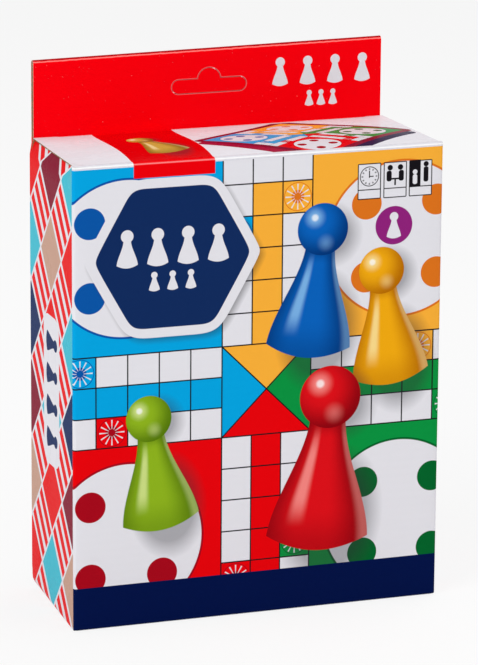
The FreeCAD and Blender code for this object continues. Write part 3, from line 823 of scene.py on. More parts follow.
def draw_crease(put, x, y, z):
    """Bare white paper at the lid's fold, where only the red band runs across, with a painted highlight along
    the crest.
    """
    place = put("CombineXYZ", [x, 0, 0])
    uneven_noise = put("TexNoise", {"Vector": place, "Scale": 0.5, "Detail": 4.0})
    paper = tint(put, WHITE, ink("D4D2DA"), uneven_noise)
    # A painted highlight along the crest, where the bend catches the light.
    painted_highlight = outline(put, put("Math", [z, CREST], "SUBTRACT"), CREST_WIDTH)
    paper = stamp(put, paper, ink("FFFFFF"), painted_highlight, edge=0.3, strength=PAPER_HIGHLIGHT)
    red = stamp(put, BAND_RED, ink("FFFFFF"), painted_highlight, edge=0.3, strength=RED_HIGHLIGHT)
    return stamp(put, paper, red, red_band(put, place, -BAND_REACH)), x


crease_paper = coated_paper("coated_liner_crease", draw_crease)

# %% [markdown]
# ## Kraft liner and fluting
# The inner liner and the corrugated sheet are unbleached recycled paper: dull, brown, with darker and
# lighter fibres that lie along the machine direction. A raw cut edge shows the same paper, a little crushed
# and pale.

# %% Kraft paper
FIBRE_LENGTH, FIBRE_WIDTH, FIBRE_RISE, PULP_CLOUD = 2.2, 0.35, 0.03, 12.0


def kraft_paper(name, pale, dark, roughness):
    """Unbleached paper: streaks of fibre, which also stand up a little, over soft clouds of pulp."""
    material, put = new_material(name)
    at = in_millimetres(put)
    streaks = (1 / FIBRE_LENGTH, 1 / FIBRE_LENGTH, 1 / FIBRE_WIDTH)
    stretched = put("Mapping", {0: at, 3: streaks}, vector_type="POINT")
    fibres = put("TexNoise", {"Vector": stretched, "Scale": 1.0, "Detail": 5.0})
    clouds = put("TexNoise", {"Vector": at, "Scale": 1 / PULP_CLOUD, "Detail": 2.0})
    tone = put("Math", [clouds, 0.35], "MULTIPLY")
    tone = put("Math", [fibres, 0.65, tone], "MULTIPLY_ADD")
    colour = put("ValToRGB", [tone], stops=[(0.0, dark), (0.35, dark), (0.68, pale), (1.0, pale)])
    surface(put, colour, roughness, fibres, FIBRE_RISE)
    return material


kraft_liner = kraft_paper("kraft_liner", ink("B9986F"), ink("8E6C45"), 0.85)
fluting = kraft_paper("kraft_fluting", ink("9A7850"), ink("6B4C2C"), 0.9)
raw_edge = kraft_paper("raw_cut_board", ink("E9E1D3"), ink("C4B49A"), 0.9)
print("Kraft liner, fluting and raw edge")

# %% [markdown]
# ## Corrugated board as a drawn-out section
# Seen along its flutes, a sheet of board is the same section everywhere: two straight liners and a wave
# between them. So each panel starts as lines in a plane, which are extruded to the paper's thickness and
# then, slice by slice, by one unit along the flutes. Then each slice is stretched to the panel's real ends
# and given its soft shape. Panels whose ends are folded round a corner need no wave, and are drawn as one
# plain section.

# %% Board sections
LINER, MEDIUM, GLUE_LINE = 0.3, 0.22, 0.015     # a liner, the corrugated sheet and the glue between
BOARD = caliper - 0.06                  # a hair thinner than the solids, so tight folds keep an inner radius
FLUTE_STEP, PLAIN_STEP = FLUTE_PITCH / 10, 6.0
ROOM = 0.1                              # between panels that meet
SKIN_ROOM = 0.04                        # left at the lid's fold for the skin of paper over it
PRINT, KRAFT, FLUTE, RAW, SIDE = range(5)       # places of the finishes on a piece


def arc(centre, radius, start, stop, steps=8):
    """Points of an arc, with its angles in degrees."""
    turns = [math.radians(start + (stop - start) * i / steps) for i in range(steps + 1)]
    return [Vector((centre[0] + radius * math.cos(a), centre[1] + radius * math.sin(a))) for a in turns]


def run(start, stop, step):
    """Points of a straight run, without its two ends."""
    start, stop = Vector(start), Vector(stop)
    count = max(1, round((stop - start).length / step))
    return [start.lerp(stop, i / count) for i in range(1, count)]


def span(start, stop, step):
    """Points of a straight run with its two ends."""
    return [Vector(start), *run(start, stop, step), Vector(stop)]


def curve(start, pull, stop, steps=8):
    """Points of a soft curve that leaves its start towards pull and comes to its end from there."""
    return [start.lerp(pull, t / steps).lerp(pull.lerp(stop, t / steps), t / steps) for t in range(steps + 1)]


def inset(path, depth, side):
    """The printed face's path moved into the board, on its left for side 1 and its right for -1."""
    found = []
    for i, point in enumerate(path):
        along = (path[min(i + 1, len(path) - 1)] - path[max(i - 1, 0)]).normalized()
        deep = depth[i] if isinstance(depth, list) else depth
        found.append(point + side * deep * Vector((-along.y, along.x)))
    return found


def solid_section(path, side):
    return [(PRINT, path, inset(path, BOARD, side))]


def fluted_section(path, side):
    """The near and far paths of the printed liner, the inner liner and the corrugated sheet."""
    travelled, swing = [0.0], BOARD / 2 - LINER - MEDIUM / 2 - GLUE_LINE
    for before, point in zip(path, path[1:]):
        travelled.append(travelled[-1] + (point - before).length)
    wave = [BOARD / 2 + swing * math.sin(2 * math.pi * s / FLUTE_PITCH) for s in travelled]
    return [
        (PRINT, path, inset(path, LINER, side)),
        (KRAFT, inset(path, BOARD - LINER, side), inset(path, BOARD, side)),
        (FLUTE, *(inset(path, [w + half for w in wave], side) for half in (-MEDIUM / 2, MEDIUM / 2))),
    ]


print(f"Board sections {BOARD:.2f} mm thick, with a wave every {FLUTE_PITCH} mm")


# %% From a section to a mesh
def vertices(geometry):
    return [item for item in geometry if isinstance(item, bmesh.types.BMVert)]


def draw_out(section_at, stations):
    """A mesh drawn out along X from 0 to 1, through the layers that section_at(share) gives at each station.

    A layer has a slot, a near path and a far path. The near path is extruded to the far one, which gives a
    strip, and the strip is extruded from station to station. A mark on each vertex says which point of the
    paths it follows. The two ends of a printed layer and its cut edges are raw paper.
    """
    bm = bmesh.new()
    mark = bm.verts.layers.int.new("point")
    shares = [0, *sorted(stations), 1]
    for layer in zip(*(section_at(share) for share in shares)):
        slot, near, far = layer[0]
        older = set(bm.faces)
        line = [bm.verts.new((0, *point)) for point in near]
        for number, vert in enumerate(line):
            vert[mark] = number
        edges = [bm.edges.new(pair) for pair in zip(line, line[1:])]
        drawn = bmesh.ops.extrude_edge_only(bm, edges=edges)["geom"]
        for vert in vertices(drawn):
            vert.co = (0, *far[vert[mark]])
            vert[mark] += len(near)
        drawn = [item for item in drawn if isinstance(item, bmesh.types.BMFace)]
        for share, (_, near, far) in zip(shares[1:], layer[1:]):
            drawn = bmesh.ops.extrude_face_region(bm, geom=drawn)["geom"]
            for vert in vertices(drawn):
                vert.co = (share, *(near + far)[vert[mark]])
        for face in set(bm.faces) - older:
            at_end = len({vert.co.x for vert in face.verts}) == 1
            at_cut = len({vert[mark] % len(near) for vert in face.verts}) == 1
            face.material_index = RAW if slot == PRINT and (at_end or at_cut) else slot
    bm.verts.layers.int.remove(mark)
    return bm


def always(section):
    """The same section at every share."""
    return lambda share: section


def even(count):
    return [i / count for i in range(1, count)]


def bend(bm, shape):
    """Moves every vertex to the place that shape(share, a, b) gives, and turns the faces outward."""
    for vert in bm.verts:
        vert.co = shape(*vert.co)
    if bm.calc_volume(signed=True) < 0:
        bmesh.ops.reverse_faces(bm, faces=bm.faces)
    bm.normal_update()
    return bm


# %% From a mesh to a piece
SMOOTH_BELOW = math.radians(38)


def make_piece(bm, name, finish, body=None, nodes=()):
    """Turns a mesh in millimetres into a piece with its finish, slot, body and the nodes it stands for."""
    bmesh.ops.scale(bm, vec=(MM, MM, MM), verts=bm.verts)
    piece = place_object(name, new_mesh(bm, name))
    for material in finish:
        piece.data.materials.append(material)
    piece.data.shade_smooth()
    piece.data.set_sharp_from_angle(angle=SMOOTH_BELOW)
    if nodes:
        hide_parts(*nodes)
    if body:
        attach(piece, body)
    print(f"{name}: {len(piece.data.polygons)} faces")
    return piece


def printed(material):
    """The finishes of a board's layers, in the order of their slots."""
    return [material, kraft_liner, fluting, raw_edge]


# %% [markdown]
# ## Front wall
# The front is one sheet whose four edges are folds: two small upright corners and half of the folds to the
# lid and the bottom. Its print runs on round the two corners.

# %% Front wall
CORNER, CORNER_TURNS = 1.2, (22.5, 45, 67.5, 90)
corner_stations = [CORNER * (1 - math.cos(math.radians(turn))) / (2 * half_width) for turn in CORNER_TURNS]
WALL_STATIONS = even(24) + corner_stations + [1 - share for share in corner_stations]


def corner_drop(x):
    """How far the outer face falls back at this distance from a rounded upright corner."""
    near = half_width - abs(x)
    if near >= CORNER:
        return 0.0
    return CORNER - math.sqrt(max(0.0, CORNER ** 2 - (CORNER - near) ** 2))


def front_shape(share, y, z):
    x = (2 * share - 1) * half_width
    outer = (inner_front_y - y) / caliper
    return Vector((x, y + outer * corner_drop(x), z))


low_fold, high_fold = (inner_front_y, caliper), (inner_front_y, lid_under)
front_path = (
    arc(low_fold, caliper, 225, 180)
    + run((front_y, caliper), (front_y, lid_under), PLAIN_STEP)
    + arc(high_fold, caliper - SKIN_ROOM, 180, 135)
)
front = bend(draw_out(always(solid_section(front_path, -1)), WALL_STATIONS), front_shape)
for face in front.faces:
    face.material_index = KRAFT if face.normal.y > 0.5 else PRINT
make_piece(front, "front_wall", printed(front_print), "carton", ["front_panel"])

# %% [markdown]
# ## Side walls
# Each side wall ends in a wide soft fold, where the dust flap turns in under the lid. The fold is tight at
# the front corner, where the front wall holds it, and wide behind that, so the fold's size changes from
# slice to slice. The fold at the foot, where the bottom flap turns in, is tight at the front and grows
# wider to the rear. The right wall is the left one mirrored.

# %% Side walls
FOLD_WIDTH = dust_low.x - wall_low.x - ROOM
TIGHT_WIDTH, FOLD_REACH = 2.2, 8.0      # width at the front corner, and the way over which it grows
UPRIGHT_STEPS, FACET_STEPS = 30, 4      # points up the wall and over the fold's facet
FOOT_TIGHT, FOOT_SOFT = 0.6, 6.5        # radius at the wall's foot, in front and at the rear
FOOT_LIFT, LEAST_HOLLOW = 0.02, 0.3     # how far the foot clears the floor, and the least radius inside it
# The fold's kink, the top of its facet, where its crest pulls to and its inner end, from the wall and its top
FOLD_POINTS = ((0, -4.5), (2.1, 0.1), (2.6, 1.2), (FOLD_WIDTH, 0))
wall_depth = inner_back_y - inner_front_y
fold_top = dust_high.z
fold_end_x = -half_width + FOLD_WIDTH


def foot_radius(share):
    return FOOT_TIGHT + (FOOT_SOFT - FOOT_TIGHT) * share


def wall_section(share):
    """Tight at the front corner and wide behind it."""
    ease = math.sin(math.pi / 2 * min(1.0, share * wall_depth / FOLD_REACH))
    size = (TIGHT_WIDTH + (FOLD_WIDTH - TIGHT_WIDTH) * ease) / FOLD_WIDTH
    kink, crest, pull, inner = (Vector((-half_width + a * size, fold_top + b * size)) for a, b in FOLD_POINTS)
    radius = foot_radius(share)
    hollow = max(LEAST_HOLLOW, radius - BOARD)
    foot = arc((-half_width + radius, radius + FOOT_LIFT), radius, 270, 180)
    upright = run(foot[-1], kink, (kink - foot[-1]).length / UPRIGHT_STEPS)
    facet = [kink] + run(kink, crest, (crest - kink).length / FACET_STEPS)
    end = Vector((fold_end_x + ROOM / 2, fold_top))
    path = foot + upright + facet + curve(crest, pull, inner) + [end]
    inside = inset(path, BOARD, -1)
    inside[:len(foot)] = arc((-half_width + BOARD + hollow, BOARD + hollow + FOOT_LIFT), hollow, 270, 180)
    return [(PRINT, path, inside)]


def wall_shape(mirror, share, x, z):
    return Vector((mirror * x, inner_front_y + share * wall_depth, z))


for mirror, name in SIDES:
    wall = bend(draw_out(wall_section, even(36)), functools.partial(wall_shape, mirror))
    for face in wall.faces:
        upper_half = face.calc_center_median().z > box_height / 2
        inward = face.normal.x * mirror > 0.3 or face.normal.z * (-1 if upper_half else 1) > 0.3
        face.material_index = RAW if abs(face.normal.y) > 0.9 else KRAFT if inward else PRINT
    make_piece(wall, f"{name}_wall", printed(side_print), "carton", [f"{name}_panel"])

# %% [markdown]
# ## Back wall and hang tab
# The back wall runs on upward as the rear ply of the tab. The tab's front ply folds over the top and down
# inside the box. The tab's ends are raw, so its plies are drawn with their flutes. The hang slot is cut
# through both plies by a Boolean, and the same two plies cut to the slot's shape, a little smaller, make
# the plug that is still in place.

# %% Back wall and tab
crest = (inner_back_y, tab_top - caliper)
FOOT_END = FOOT_SOFT / 1.5              # about where the close points of the foot end
TONGUE_GAP = 0.3                        # between the tab's tongue and a side wall's fold
TONGUE_HALF = half_width - FOLD_WIDTH - TONGUE_GAP
LEFT_SHOULDER = 4.4                     # height over which the wall's left end falls back to the tab's
tab_face_y = tab_low.y
shoulder_foot = Vector((back_y, box_height - FOLD_WIDTH))
SPLIT = 0.02                            # height of the step to the tab's plies, from the wall or the tongue


def back_shape(share, y, z):
    if z > box_height:
        return tab_shape(share, y, z)
    past_shoulder = max(0.0, min(1.0, (z - shoulder_foot.y) / LEFT_SHOULDER))
    start = -half_width + (tab_left + half_width) * past_shoulder
    stop = min(half_width, tab_right + (half_width - tab_right) * (box_height - z) / FOLD_WIDTH)
    x = start + share * (stop - start)
    outer = (y - inner_back_y) / caliper
    y -= outer * corner_drop(x)
    rise = min(1.0, z / FOOT_SOFT)
    pulled_in = FOOT_SOFT * (1 - math.sqrt(rise * (2 - rise)))
    return Vector((x * (1 - pulled_in / half_width), y, z))


def tab_shape(share, y, z):
    if z < lid_under:
        return Vector(((2 * share - 1) * TONGUE_HALF, y, z))
    rise = max(0.0, z - box_height) / (tab_top - box_height)
    return Vector((tab_left + share * (tab_right - tab_left), y, z - TAB_SLOPE * rise * (1 - share)))


wall_rear = (
    [Vector((back_y, FOOT_SOFT * share ** 2)) for share in [0] + even(6)]
    + run((back_y, FOOT_END), shoulder_foot, PLAIN_STEP)
    + [shoulder_foot, shoulder_foot + Vector((0, LEFT_SHOULDER)), Vector((back_y, box_height))]
)
ply_rear = (
    [Vector((back_y, box_height + SPLIT))]
    + run((back_y, box_height + SPLIT), (back_y, crest[1]), FLUTE_STEP)
    + arc(crest, caliper, 0, 90)
)
ply_front = (
    [Vector((tab_face_y, tab_low.z))]
    + run((tab_face_y, tab_low.z), (tab_face_y, lid_under - SPLIT), FLUTE_STEP)
    + run((tab_face_y, lid_under + SPLIT), (tab_face_y, crest[1]), FLUTE_STEP)
    + arc(crest, caliper, 180, 90)
)
back = draw_out(always(solid_section(wall_rear, 1) + fluted_section(ply_rear, 1)), WALL_STATIONS)
bend(back, back_shape)
for face in back.faces:
    if face.calc_center_median().z < box_height:
        face.material_index = KRAFT if face.normal.y < -0.5 else PRINT
        if abs(face.normal.y) < 0.6:
            face.material_index = RAW if face.normal.z > 0.4 else SIDE
back_finish = printed(back_print) + [side_print]
back_wall = make_piece(back, "back_wall_and_tab_ply", back_finish, "carton", ["back_panel"])
ply = bend(draw_out(always(fluted_section(ply_front, -1)), even(12)), tab_shape)
tab_ply = make_piece(ply, "tab_front_ply", printed(tab_print), "carton", ["hang_tab_front"])


# %% Hang slot and its plug
CUT_MARGIN = 1.0                        # the cutting block stands out this far at both faces


def slot_outline(gap):
    """A round-ended slot with a round bump at the middle of its top."""
    radius, bump = SLOT_RADIUS - gap, BUMP_RADIUS - gap
    reach = SLOT_HALF - SLOT_RADIUS
    lift = slot_middle + radius - bump_middle
    meet = math.degrees(math.asin(lift / bump))
    return (
        arc((slot_x - reach, slot_middle), radius, 90, 270, 16)
        + arc((slot_x + reach, slot_middle), radius, 270, 450, 16)
        + arc((slot_x, bump_middle), bump, meet, 180 - meet, 24)
    )


def slot_block(gap):
    """A block of the slot's shape that reaches through both plies."""
    bm = bmesh.new()
    start = tab_face_y - CUT_MARGIN
    face = bm.faces.new([bm.verts.new((point.x, start, point.y)) for point in slot_outline(gap)])
    drawn = bmesh.ops.extrude_face_region(bm, geom=[face])["geom"]
    bmesh.ops.translate(bm, verts=vertices(drawn), vec=(0, back_y + CUT_MARGIN - start, 0))
    bmesh.ops.recalc_face_normals(bm, faces=bm.faces)
    bmesh.ops.scale(bm, vec=(MM, MM, MM), verts=bm.verts)
    return place_object("slot_block", new_mesh(bm, "slot_block"))


def cut_with(piece, block, operation):
    """The mesh of a piece after a Boolean with the block."""
    cutter = piece.modifiers.new("slot", "BOOLEAN")
    cutter.object, cutter.operation, cutter.solver = block, operation, "EXACT"
    evaluated = piece.evaluated_get(bpy.context.evaluated_depsgraph_get())
    mesh = bpy.data.meshes.new_from_object(evaluated)
    piece.modifiers.remove(cutter)
    return mesh


hole, plug_shape = slot_block(0), slot_block(plug_gap)
plug = bmesh.new()
for ply in (tab_ply, back_wall):
    cut_out = cut_with(ply, plug_shape, "INTERSECT")
    plug.from_mesh(cut_out)
    bpy.data.meshes.remove(cut_out)
    holed = cut_with(ply, hole, "DIFFERENCE")
    holed.set_sharp_from_angle(angle=SMOOTH_BELOW)
    ply.data = holed
for block in (hole, plug_shape):
    bpy.data.objects.remove(block)
for face in plug.faces:
    if face.normal.y > 0.9 and face.calc_center_median().y > (back_y - LINER) * MM:
        face.material_index = PRINT
bmesh.ops.scale(plug, vec=(1 / MM,) * 3, verts=plug.verts)
make_piece(plug, "slot_plug", printed(tab_print), "slot_plug", ["hang_slot_plug"])

# %% [markdown]
# ## Lid and flaps
# The lid and the flaps that fold from it have raw ends, so they are drawn with their flutes. The lid's
# right end is cut at a slant, and beyond the tuck flap its rear edge is a straight cut. The tuck flap has
# round corners, and the dust flaps are relieved at the rear. Each moves with its own body.

# %% Lid
lid_fold, lid_rear = (inner_front_y + ROOM, lid_under), (lid_high.y - caliper, lid_under)
tuck_half = tuck_high.x
lid_taper = lid_high.x - tab_high.x
DOME, DOME_START = 1.5, inner_front_y + 1.2     # it swells up behind its crease, most at a third of its depth
SWELL = 27 / 4                                  # brings the crest of p (1 - p) (1 - p) to 1
CRUSHED, CRUSH_REACH = 0.35, 7.0                # its ends were pressed thin as they were cut
CRUSH_STATIONS = [0.02, 0.045]
STRAIGHT_CUT, TUCK_GAP = 0.9, 0.3               # how square its rear edge is, from this far beside the tuck
TUCK_STEP = (0.2, 0.5)                          # stations on both sides of where that starts


def lid_shape(share, y, z):
    run_back = (y - lid_low.y) / (lid_high.y - lid_low.y)
    stop = lid_high.x - lid_taper * run_back
    x = lid_low.x + share * (stop - lid_low.x)
    crush = min(1.0, CRUSHED + (1 - CRUSHED) * min(x - lid_low.x, stop - x) / CRUSH_REACH)
    z = box_height - (box_height - z) * crush
    past_crease = max(0.0, min(1.0, (y - DOME_START) / (lid_rear[0] - DOME_START)))
    swell = SWELL * past_crease * (1 - past_crease) ** 2
    z += DOME * swell * (1 - (2 * share - 1) ** 4)
    if y > lid_rear[0] and abs(x) > tuck_half + TUCK_GAP and z > lid_under:
        y += STRAIGHT_CUT * (lid_high.y - y)
    return Vector((x, y, z))


lid_path = (
    arc(lid_fold, caliper - SKIN_ROOM, 135, 90)
    + run((lid_fold[0], box_height), (lid_rear[0], box_height), FLUTE_STEP)
    + arc(lid_rear, caliper, 90, 0)
)
tuck_stations = [0.5 + side * (tuck_half + gap) / (2 * half_width) for side in (-1, 1) for gap in TUCK_STEP]
lid_stations = even(16) + CRUSH_STATIONS + [1 - share for share in CRUSH_STATIONS] + tuck_stations
lid_board = bend(draw_out(always(fluted_section(lid_path, -1)), lid_stations), lid_shape)
make_piece(lid_board, "lid_board", printed(lid_print), "lid", ["lid"])

# %% Tuck flap
TUCK_LENGTH, TUCK_CORNER = 16.0, 8.0
tuck_lean = math.asin((lid_rear[0] - tuck_low.y) / TUCK_LENGTH)


def tuck_shape(share, y, z):
    past = max(0.0, -z - (TUCK_LENGTH - TUCK_CORNER))
    half = tuck_half - TUCK_CORNER + math.sqrt(max(0.0, TUCK_CORNER ** 2 - past ** 2))
    lean = Matrix.Rotation(-tuck_lean, 3, "X")
    return lean @ Vector(((2 * share - 1) * half, y, z)) + Vector((0, *lid_rear))


tuck_path = span((caliper, -ROOM), (caliper, -TUCK_LENGTH), FLUTE_STEP)
tuck = bend(draw_out(always(fluted_section(tuck_path, -1)), even(8)), tuck_shape)
make_piece(tuck, "tuck_flap_board", printed(plain_liner), "tuck_flap", ["lid_tuck_flap"])

# %% Dust flaps
DUST_RELIEF, DUST_TAPER = 12.0, 4.0     # cut back at the rear and at the front


def dust_shape(mirror, share, x, z):
    along = x - dust_low.x
    start = dust_low.y + DUST_TAPER * along / (dust_high.x - dust_low.x)
    stop = dust_high.y - min(along, DUST_RELIEF)
    return Vector((mirror * x, start + share * (stop - start), z))


dust_path = span((dust_low.x, dust_high.z), (dust_high.x, dust_high.z), FLUTE_STEP)
for mirror, name in SIDES:
    dust = draw_out(always(fluted_section(dust_path, -1)), even(8))
    bend(dust, functools.partial(dust_shape, mirror))
    node = f"{name}_dust_flap"
    make_piece(dust, f"{node}_board", printed(side_print), node, [node])

# %% Bottom
bottom_high = corners("bottom_panel")[1]
bottom_rear = (bottom_high.y - caliper, caliper)
flap_low, flap_high = corners("left_bottom_flap")


def within_walls(y):
    """Half the width between the curled feet of the side walls."""
    share = max(0.0, min(1.0, (y - inner_front_y) / wall_depth))
    return half_width - max(caliper, foot_radius(share) + ROOM)


def bottom_shape(share, y, z):
    return Vector(((2 * share - 1) * within_walls(y), y, z))


def bottom_flap_shape(mirror, share, x, z):
    y = flap_low.y + share * (flap_high.y - flap_low.y)
    reach = (flap_high.x - x) / (flap_high.x - flap_low.x)
    return Vector((mirror * (flap_high.x - reach * (within_walls(y) + flap_high.x)), y, z))


bottom_path = (
    arc(low_fold, caliper, 225, 270)
    + run((low_fold[0], 0), (bottom_rear[0], 0), PLAIN_STEP)
    + arc(bottom_rear, caliper, 270, 360)
)
bottom = bend(draw_out(always(solid_section(bottom_path, 1)), even(6)), bottom_shape)
for face in bottom.faces:
    face.material_index = KRAFT if face.normal.z > 0.5 else PRINT
make_piece(bottom, "bottom_board", printed(plain_liner), "carton", ["bottom_panel"])
flap_level = flap_high.z - BOARD
flap_path = span((flap_low.x, flap_level), (flap_high.x, flap_level), PLAIN_STEP)
for mirror, name in SIDES:
    flap = draw_out(always(solid_section(flap_path, 1)), even(8))
    bend(flap, functools.partial(bottom_flap_shape, mirror))
    for face in flap.faces:
        face.material_index = PRINT if face.normal.z < -0.5 else KRAFT
    node = f"{name}_bottom_flap"
    make_piece(flap, f"{node}_board", printed(side_print), "carton", [node])

# %% [markdown]
# ## Creases
# At a fold the printed liner is one piece with the panels on both sides of it. Each moving fold gets a thin
# skin of that paper, laid over the fold.

# %% Crease skins
SKIN, PROUD = 0.10, 0.03                # thickness of a skin, and how far it stands out of the boards
TUCK_LAP = 1.5                          # how far the tuck flap's skin lies on the lid
STRIP_STEP, STRIP_BEND = 0.3, 0.9       # points along a dust flap's strip, and a distance to each side of its fold
STRIP_TRIM = (1.0, 2.0)                 # its ends stop this far before the flap's


def crease_skin(name, path, side, ends, along, start, stop):
    """A thin strip over a fold. along is the axis of the fold, X or Y."""
    bm = draw_out(always([(PRINT, path, inset(path, SKIN, side))]), WALL_STATIONS)

    def shape(share, a, b):
        run_on = ends[0] + share * (ends[1] - ends[0])
        if along == "Y":
            return Vector((a, run_on, b))
        outer = max(0.0, (inner_front_y - a) / caliper)
        return Vector((run_on, a + outer * corner_drop(run_on), b))

    bend(bm, shape)
    for face in bm.faces:
        face.material_index = PRINT
    skin = make_piece(bm, name, [crease_paper if along == "X" else side_print])
    Vector(start) * MM
    Vector(stop) * MM
    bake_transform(skin)


skin_radius = caliper + PROUD
lid_skin = arc(high_fold, caliper, 180, 90, 16) + [Vector((DOME_START, box_height + PROUD))]
crease_skin("lid_crease", lid_skin, -1, (-half_width, half_width), "X",
            (0, front_y, lid_under), (0, inner_front_y, box_height))
tuck_skin = (
    [Vector((lid_rear[0] - TUCK_LAP, box_height + PROUD))]
    + arc(lid_rear, skin_radius, 90, -math.degrees(tuck_lean), 16)
)
crease_skin("tuck_crease", tuck_skin, -1, (-tuck_half, tuck_half), "X",
            (0, lid_rear[0], box_height), (0, lid_high.y, lid_under))
for mirror, name in SIDES:
    level = fold_top + PROUD
    strip = [Vector((mirror * (fold_end_x + step * STRIP_STEP), level)) for step in range(-4, 5)]
    start, stop = ((mirror * (fold_end_x + reach), 0, 0) for reach in (-STRIP_BEND, STRIP_BEND))
    ends = (dust_low.y + STRIP_TRIM[0], dust_high.y - STRIP_TRIM[1])
    crease_skin(f"{name}_dust_crease", strip, -mirror, ends, "Y",
                start, stop)

# %% [markdown]
# ## What is inside
# The pawns are injection-moulded, so they are glossy, with faint clouds in their colour. The die is white
# with sunk black pips. The board is grey board with paper glued on: navy on its outer faces and a quarter
# of the plan on each inner one, held by linen tape. The leaflet is thin uncoated paper.

# %% Pawns and die
PIGMENT_CLOUD, PEEL_SIZE, DIE_PEEL_SIZE, PEEL_DEPTH = 6.0, 0.8, 0.7, 0.006
PLASTIC = 1.49                          # refraction
PIP_LEVEL, PIP_MARGIN = 0.02, 1.4       # a pip lies this far under a face, and this far from the die's edges


def moulded_plastic(name, colour, dark):
    """Gloss-moulded plastic: nearly smooth, with soft clouds of pigment and a fine orange peel."""
    material, put = new_material(name)
    at = in_millimetres(put)
    clouds = put("TexNoise", {"Vector": at, "Scale": 1 / PIGMENT_CLOUD, "Detail": 3.0})
    shade = tint(put, colour, dark, put("MapRange", [clouds, 0.35, 0.7, 0.0, 0.35]))
    peel = put("TexNoise", {"Vector": at, "Scale": 1 / PEEL_SIZE, "Detail": 2.0})
    surface(put, shade, put("MapRange", [clouds, 0.3, 0.7, 0.16, 0.26]), peel, PEEL_DEPTH, PLASTIC)
    return material


def die_plastic():
    """White moulded plastic. A point under the cube's faces and away from its edges is in a pip."""
    material, put = new_material("white_moulded_plastic_with_pips")
    low, high = corners("die")
    half = (high.x - low.x) / 2
    at = in_millimetres(put)
    away = put("VectorMath", [at, (low + high) / 2], "SUBTRACT")
    away = put("VectorMath", [away], "ABSOLUTE")
    x, y, z = put("SeparateXYZ", [away], out=None)
    largest, total, least = (
        put("Math", [put("Math", [x, y], join), z], join) for join in ("MAXIMUM", "ADD", "MINIMUM"))
    middle = put("Math", [put("Math", [total, largest], "SUBTRACT"), least], "SUBTRACT")
    sunk = put("Math", [largest, half - PIP_LEVEL], "LESS_THAN")
    inner = put("Math", [middle, half - PIP_MARGIN], "LESS_THAN")
    pip = put("Math", [sunk, inner], "MULTIPLY")
    colour = tint(put, ink("F0EEE8"), BLACK, pip)
    peel = put("TexNoise", {"Vector": at, "Scale": 1 / DIE_PEEL_SIZE})
    surface(put, colour, 0.25, peel, PEEL_DEPTH)
    return material


def finish_node(node, material):
    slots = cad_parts[node].data.materials
    slots.clear()
    slots.append(material)


PIECE_TONES = {"blue": ("0A62BC", "064A94"), "yellow": ("F0A810", "D98F06"), "green": ("8CB31E", "749A12"),
               "red": ("DC1119", "B80B14")}
for colour, (plain, dark) in PIECE_TONES.items():
    plastic = moulded_plastic(f"{colour}_moulded_plastic", ink(plain), ink(dark))
    for number in range(1, 5):
        finish_node(f"pawn_{colour}_{number}", plastic)
finish_node("die", die_plastic())
for node in ("glue_flap", "bottom_tuck_flap"):
    finish_node(node, kraft_liner)
print("Pawns, die and the carton's inner flaps have their finishes")

# %% Game board, tapes and leaflet
# 1 where a quarter's inner face looks to the front and -1 where it looks to the rear, which mirrors its plan,
# then 1 for the plan's upper half and -1 for its lower one
QUARTER_TURN = {"blue": (1, -1), "yellow": (-1, -1), "green": (1, 1), "red": (-1, 1)}
BOARD_GRAIN, PULP_GRAIN, THREAD = 0.9, 1.5, 0.6
LINE_PITCH, LINE_HALF, LEAFLET_MARGIN = 4.0, 0.45, (10.0, 12.0)


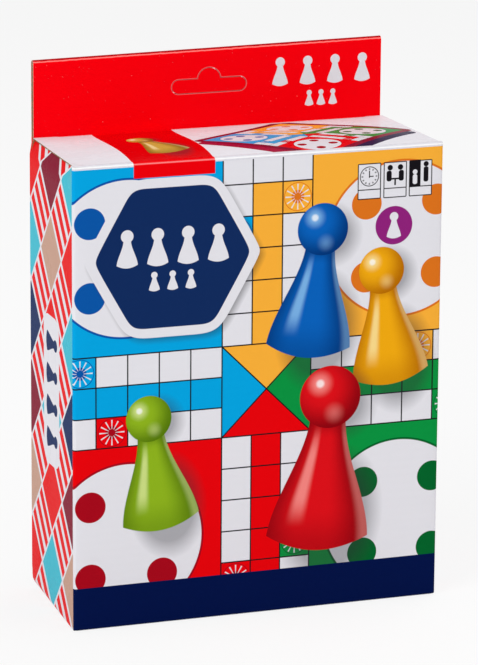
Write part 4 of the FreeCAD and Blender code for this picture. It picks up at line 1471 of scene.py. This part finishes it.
def board_quarter(colour):
    """Grey board with a quarter of the plan on its inner face and navy paper on the outer one."""
    material, put = new_material(f"game_board_{colour}")
    at = in_millimetres(put)
    x, _, z = put("SeparateXYZ", [at], out=None)
    low, high = corners(f"board_quarter_{colour}")
    across, up = QUARTER_TURN[colour]
    scale = BOARD_HALF / (high.x - low.x)
    plan_x = put("Math", [x, -across * low.x], "SUBTRACT")
    plan_x = put("Math", [plan_x, across * scale], "MULTIPLY")
    plan_y = put("Math", [z, low.z if up > 0 else high.z], "SUBTRACT")
    plan_y = put("Math", [plan_y, scale], "MULTIPLY")
    plan = put("Group", [put("CombineXYZ", [plan_x, plan_y, 0])], node_tree=ludo_print)
    facing = put("SeparateXYZ", [put("TexCoord", out="Normal")], out="Y")
    inward = put("Math", [facing, -across], "MULTIPLY")
    inner = put("Math", [inward, 0.5], "GREATER_THAN")
    outer = put("Math", [inward, -0.5], "LESS_THAN")
    grain = put("TexNoise", {"Vector": at, "Scale": 1 / BOARD_GRAIN, "Detail": 4.0})
    core = tint(put, ink("8C8883"), ink("B4B0AA"), grain)
    cover = tint(put, NAVY, ink("24386F"), grain)
    looks = tint(put, tint(put, core, plan, inner), cover, outer)
    surface(put, looks, 0.45, grain, 0.02)
    return material


def linen_tape():
    """Woven bookbinding tape: two sets of threads at right angles."""
    material, put = new_material("navy_linen_tape")
    x, y, z = put("SeparateXYZ", [in_millimetres(put)], out=None)
    level = put("Math", [x, y], "ADD")
    phases = [put("Math", [axis, 2 * math.pi / THREAD], "MULTIPLY") for axis in (level, z)]
    warp, weft = (put("Math", [phase], "SINE") for phase in phases)
    weave = put("Math", [warp, weft], "MULTIPLY")
    raised = put("MapRange", [weave, -1, 1, 0, 1])
    surface(put, tint(put, ink("16244C"), ink("2F4277"), raised), 0.8, weave, 0.03)
    return material


def leaflet_paper():
    """Thin uncoated paper with grey rules where the lines of print would be."""
    material, put = new_material("uncoated_leaflet_paper")
    at = in_millimetres(put)
    x, _, z = put("SeparateXYZ", [at], out=None)
    low, high = corners("rules_leaflet")
    half = (high.x - LEAFLET_MARGIN[0], (high.z - low.z) / 2 - LEAFLET_MARGIN[1])
    block = bar(put, put("CombineXYZ", [x, z, 0]), (0, (low.z + high.z) / 2), half)
    line = put("Math", [put("Math", [z, LINE_PITCH / 2], "PINGPONG"), LINE_HALF], "SUBTRACT")
    pulp = put("TexNoise", {"Vector": at, "Scale": 1 / PULP_GRAIN, "Detail": 5.0})
    paper = tint(put, ink("F1EFEA"), ink("E4E1DA"), pulp)
    surface(put, stamp(put, paper, ink("B9B7B4"), both(put, line, block)), 0.75, pulp, 0.01)
    return material


for colour in QUARTER_TURN:
    finish_node(f"board_quarter_{colour}", board_quarter(colour))
tape = linen_tape()
for node in ("board_spine_tape", "board_back_tape", "board_front_tape"):
    finish_node(node, tape)
finish_node("rules_leaflet", leaflet_paper())
print("Board, tapes and leaflet have their finishes")
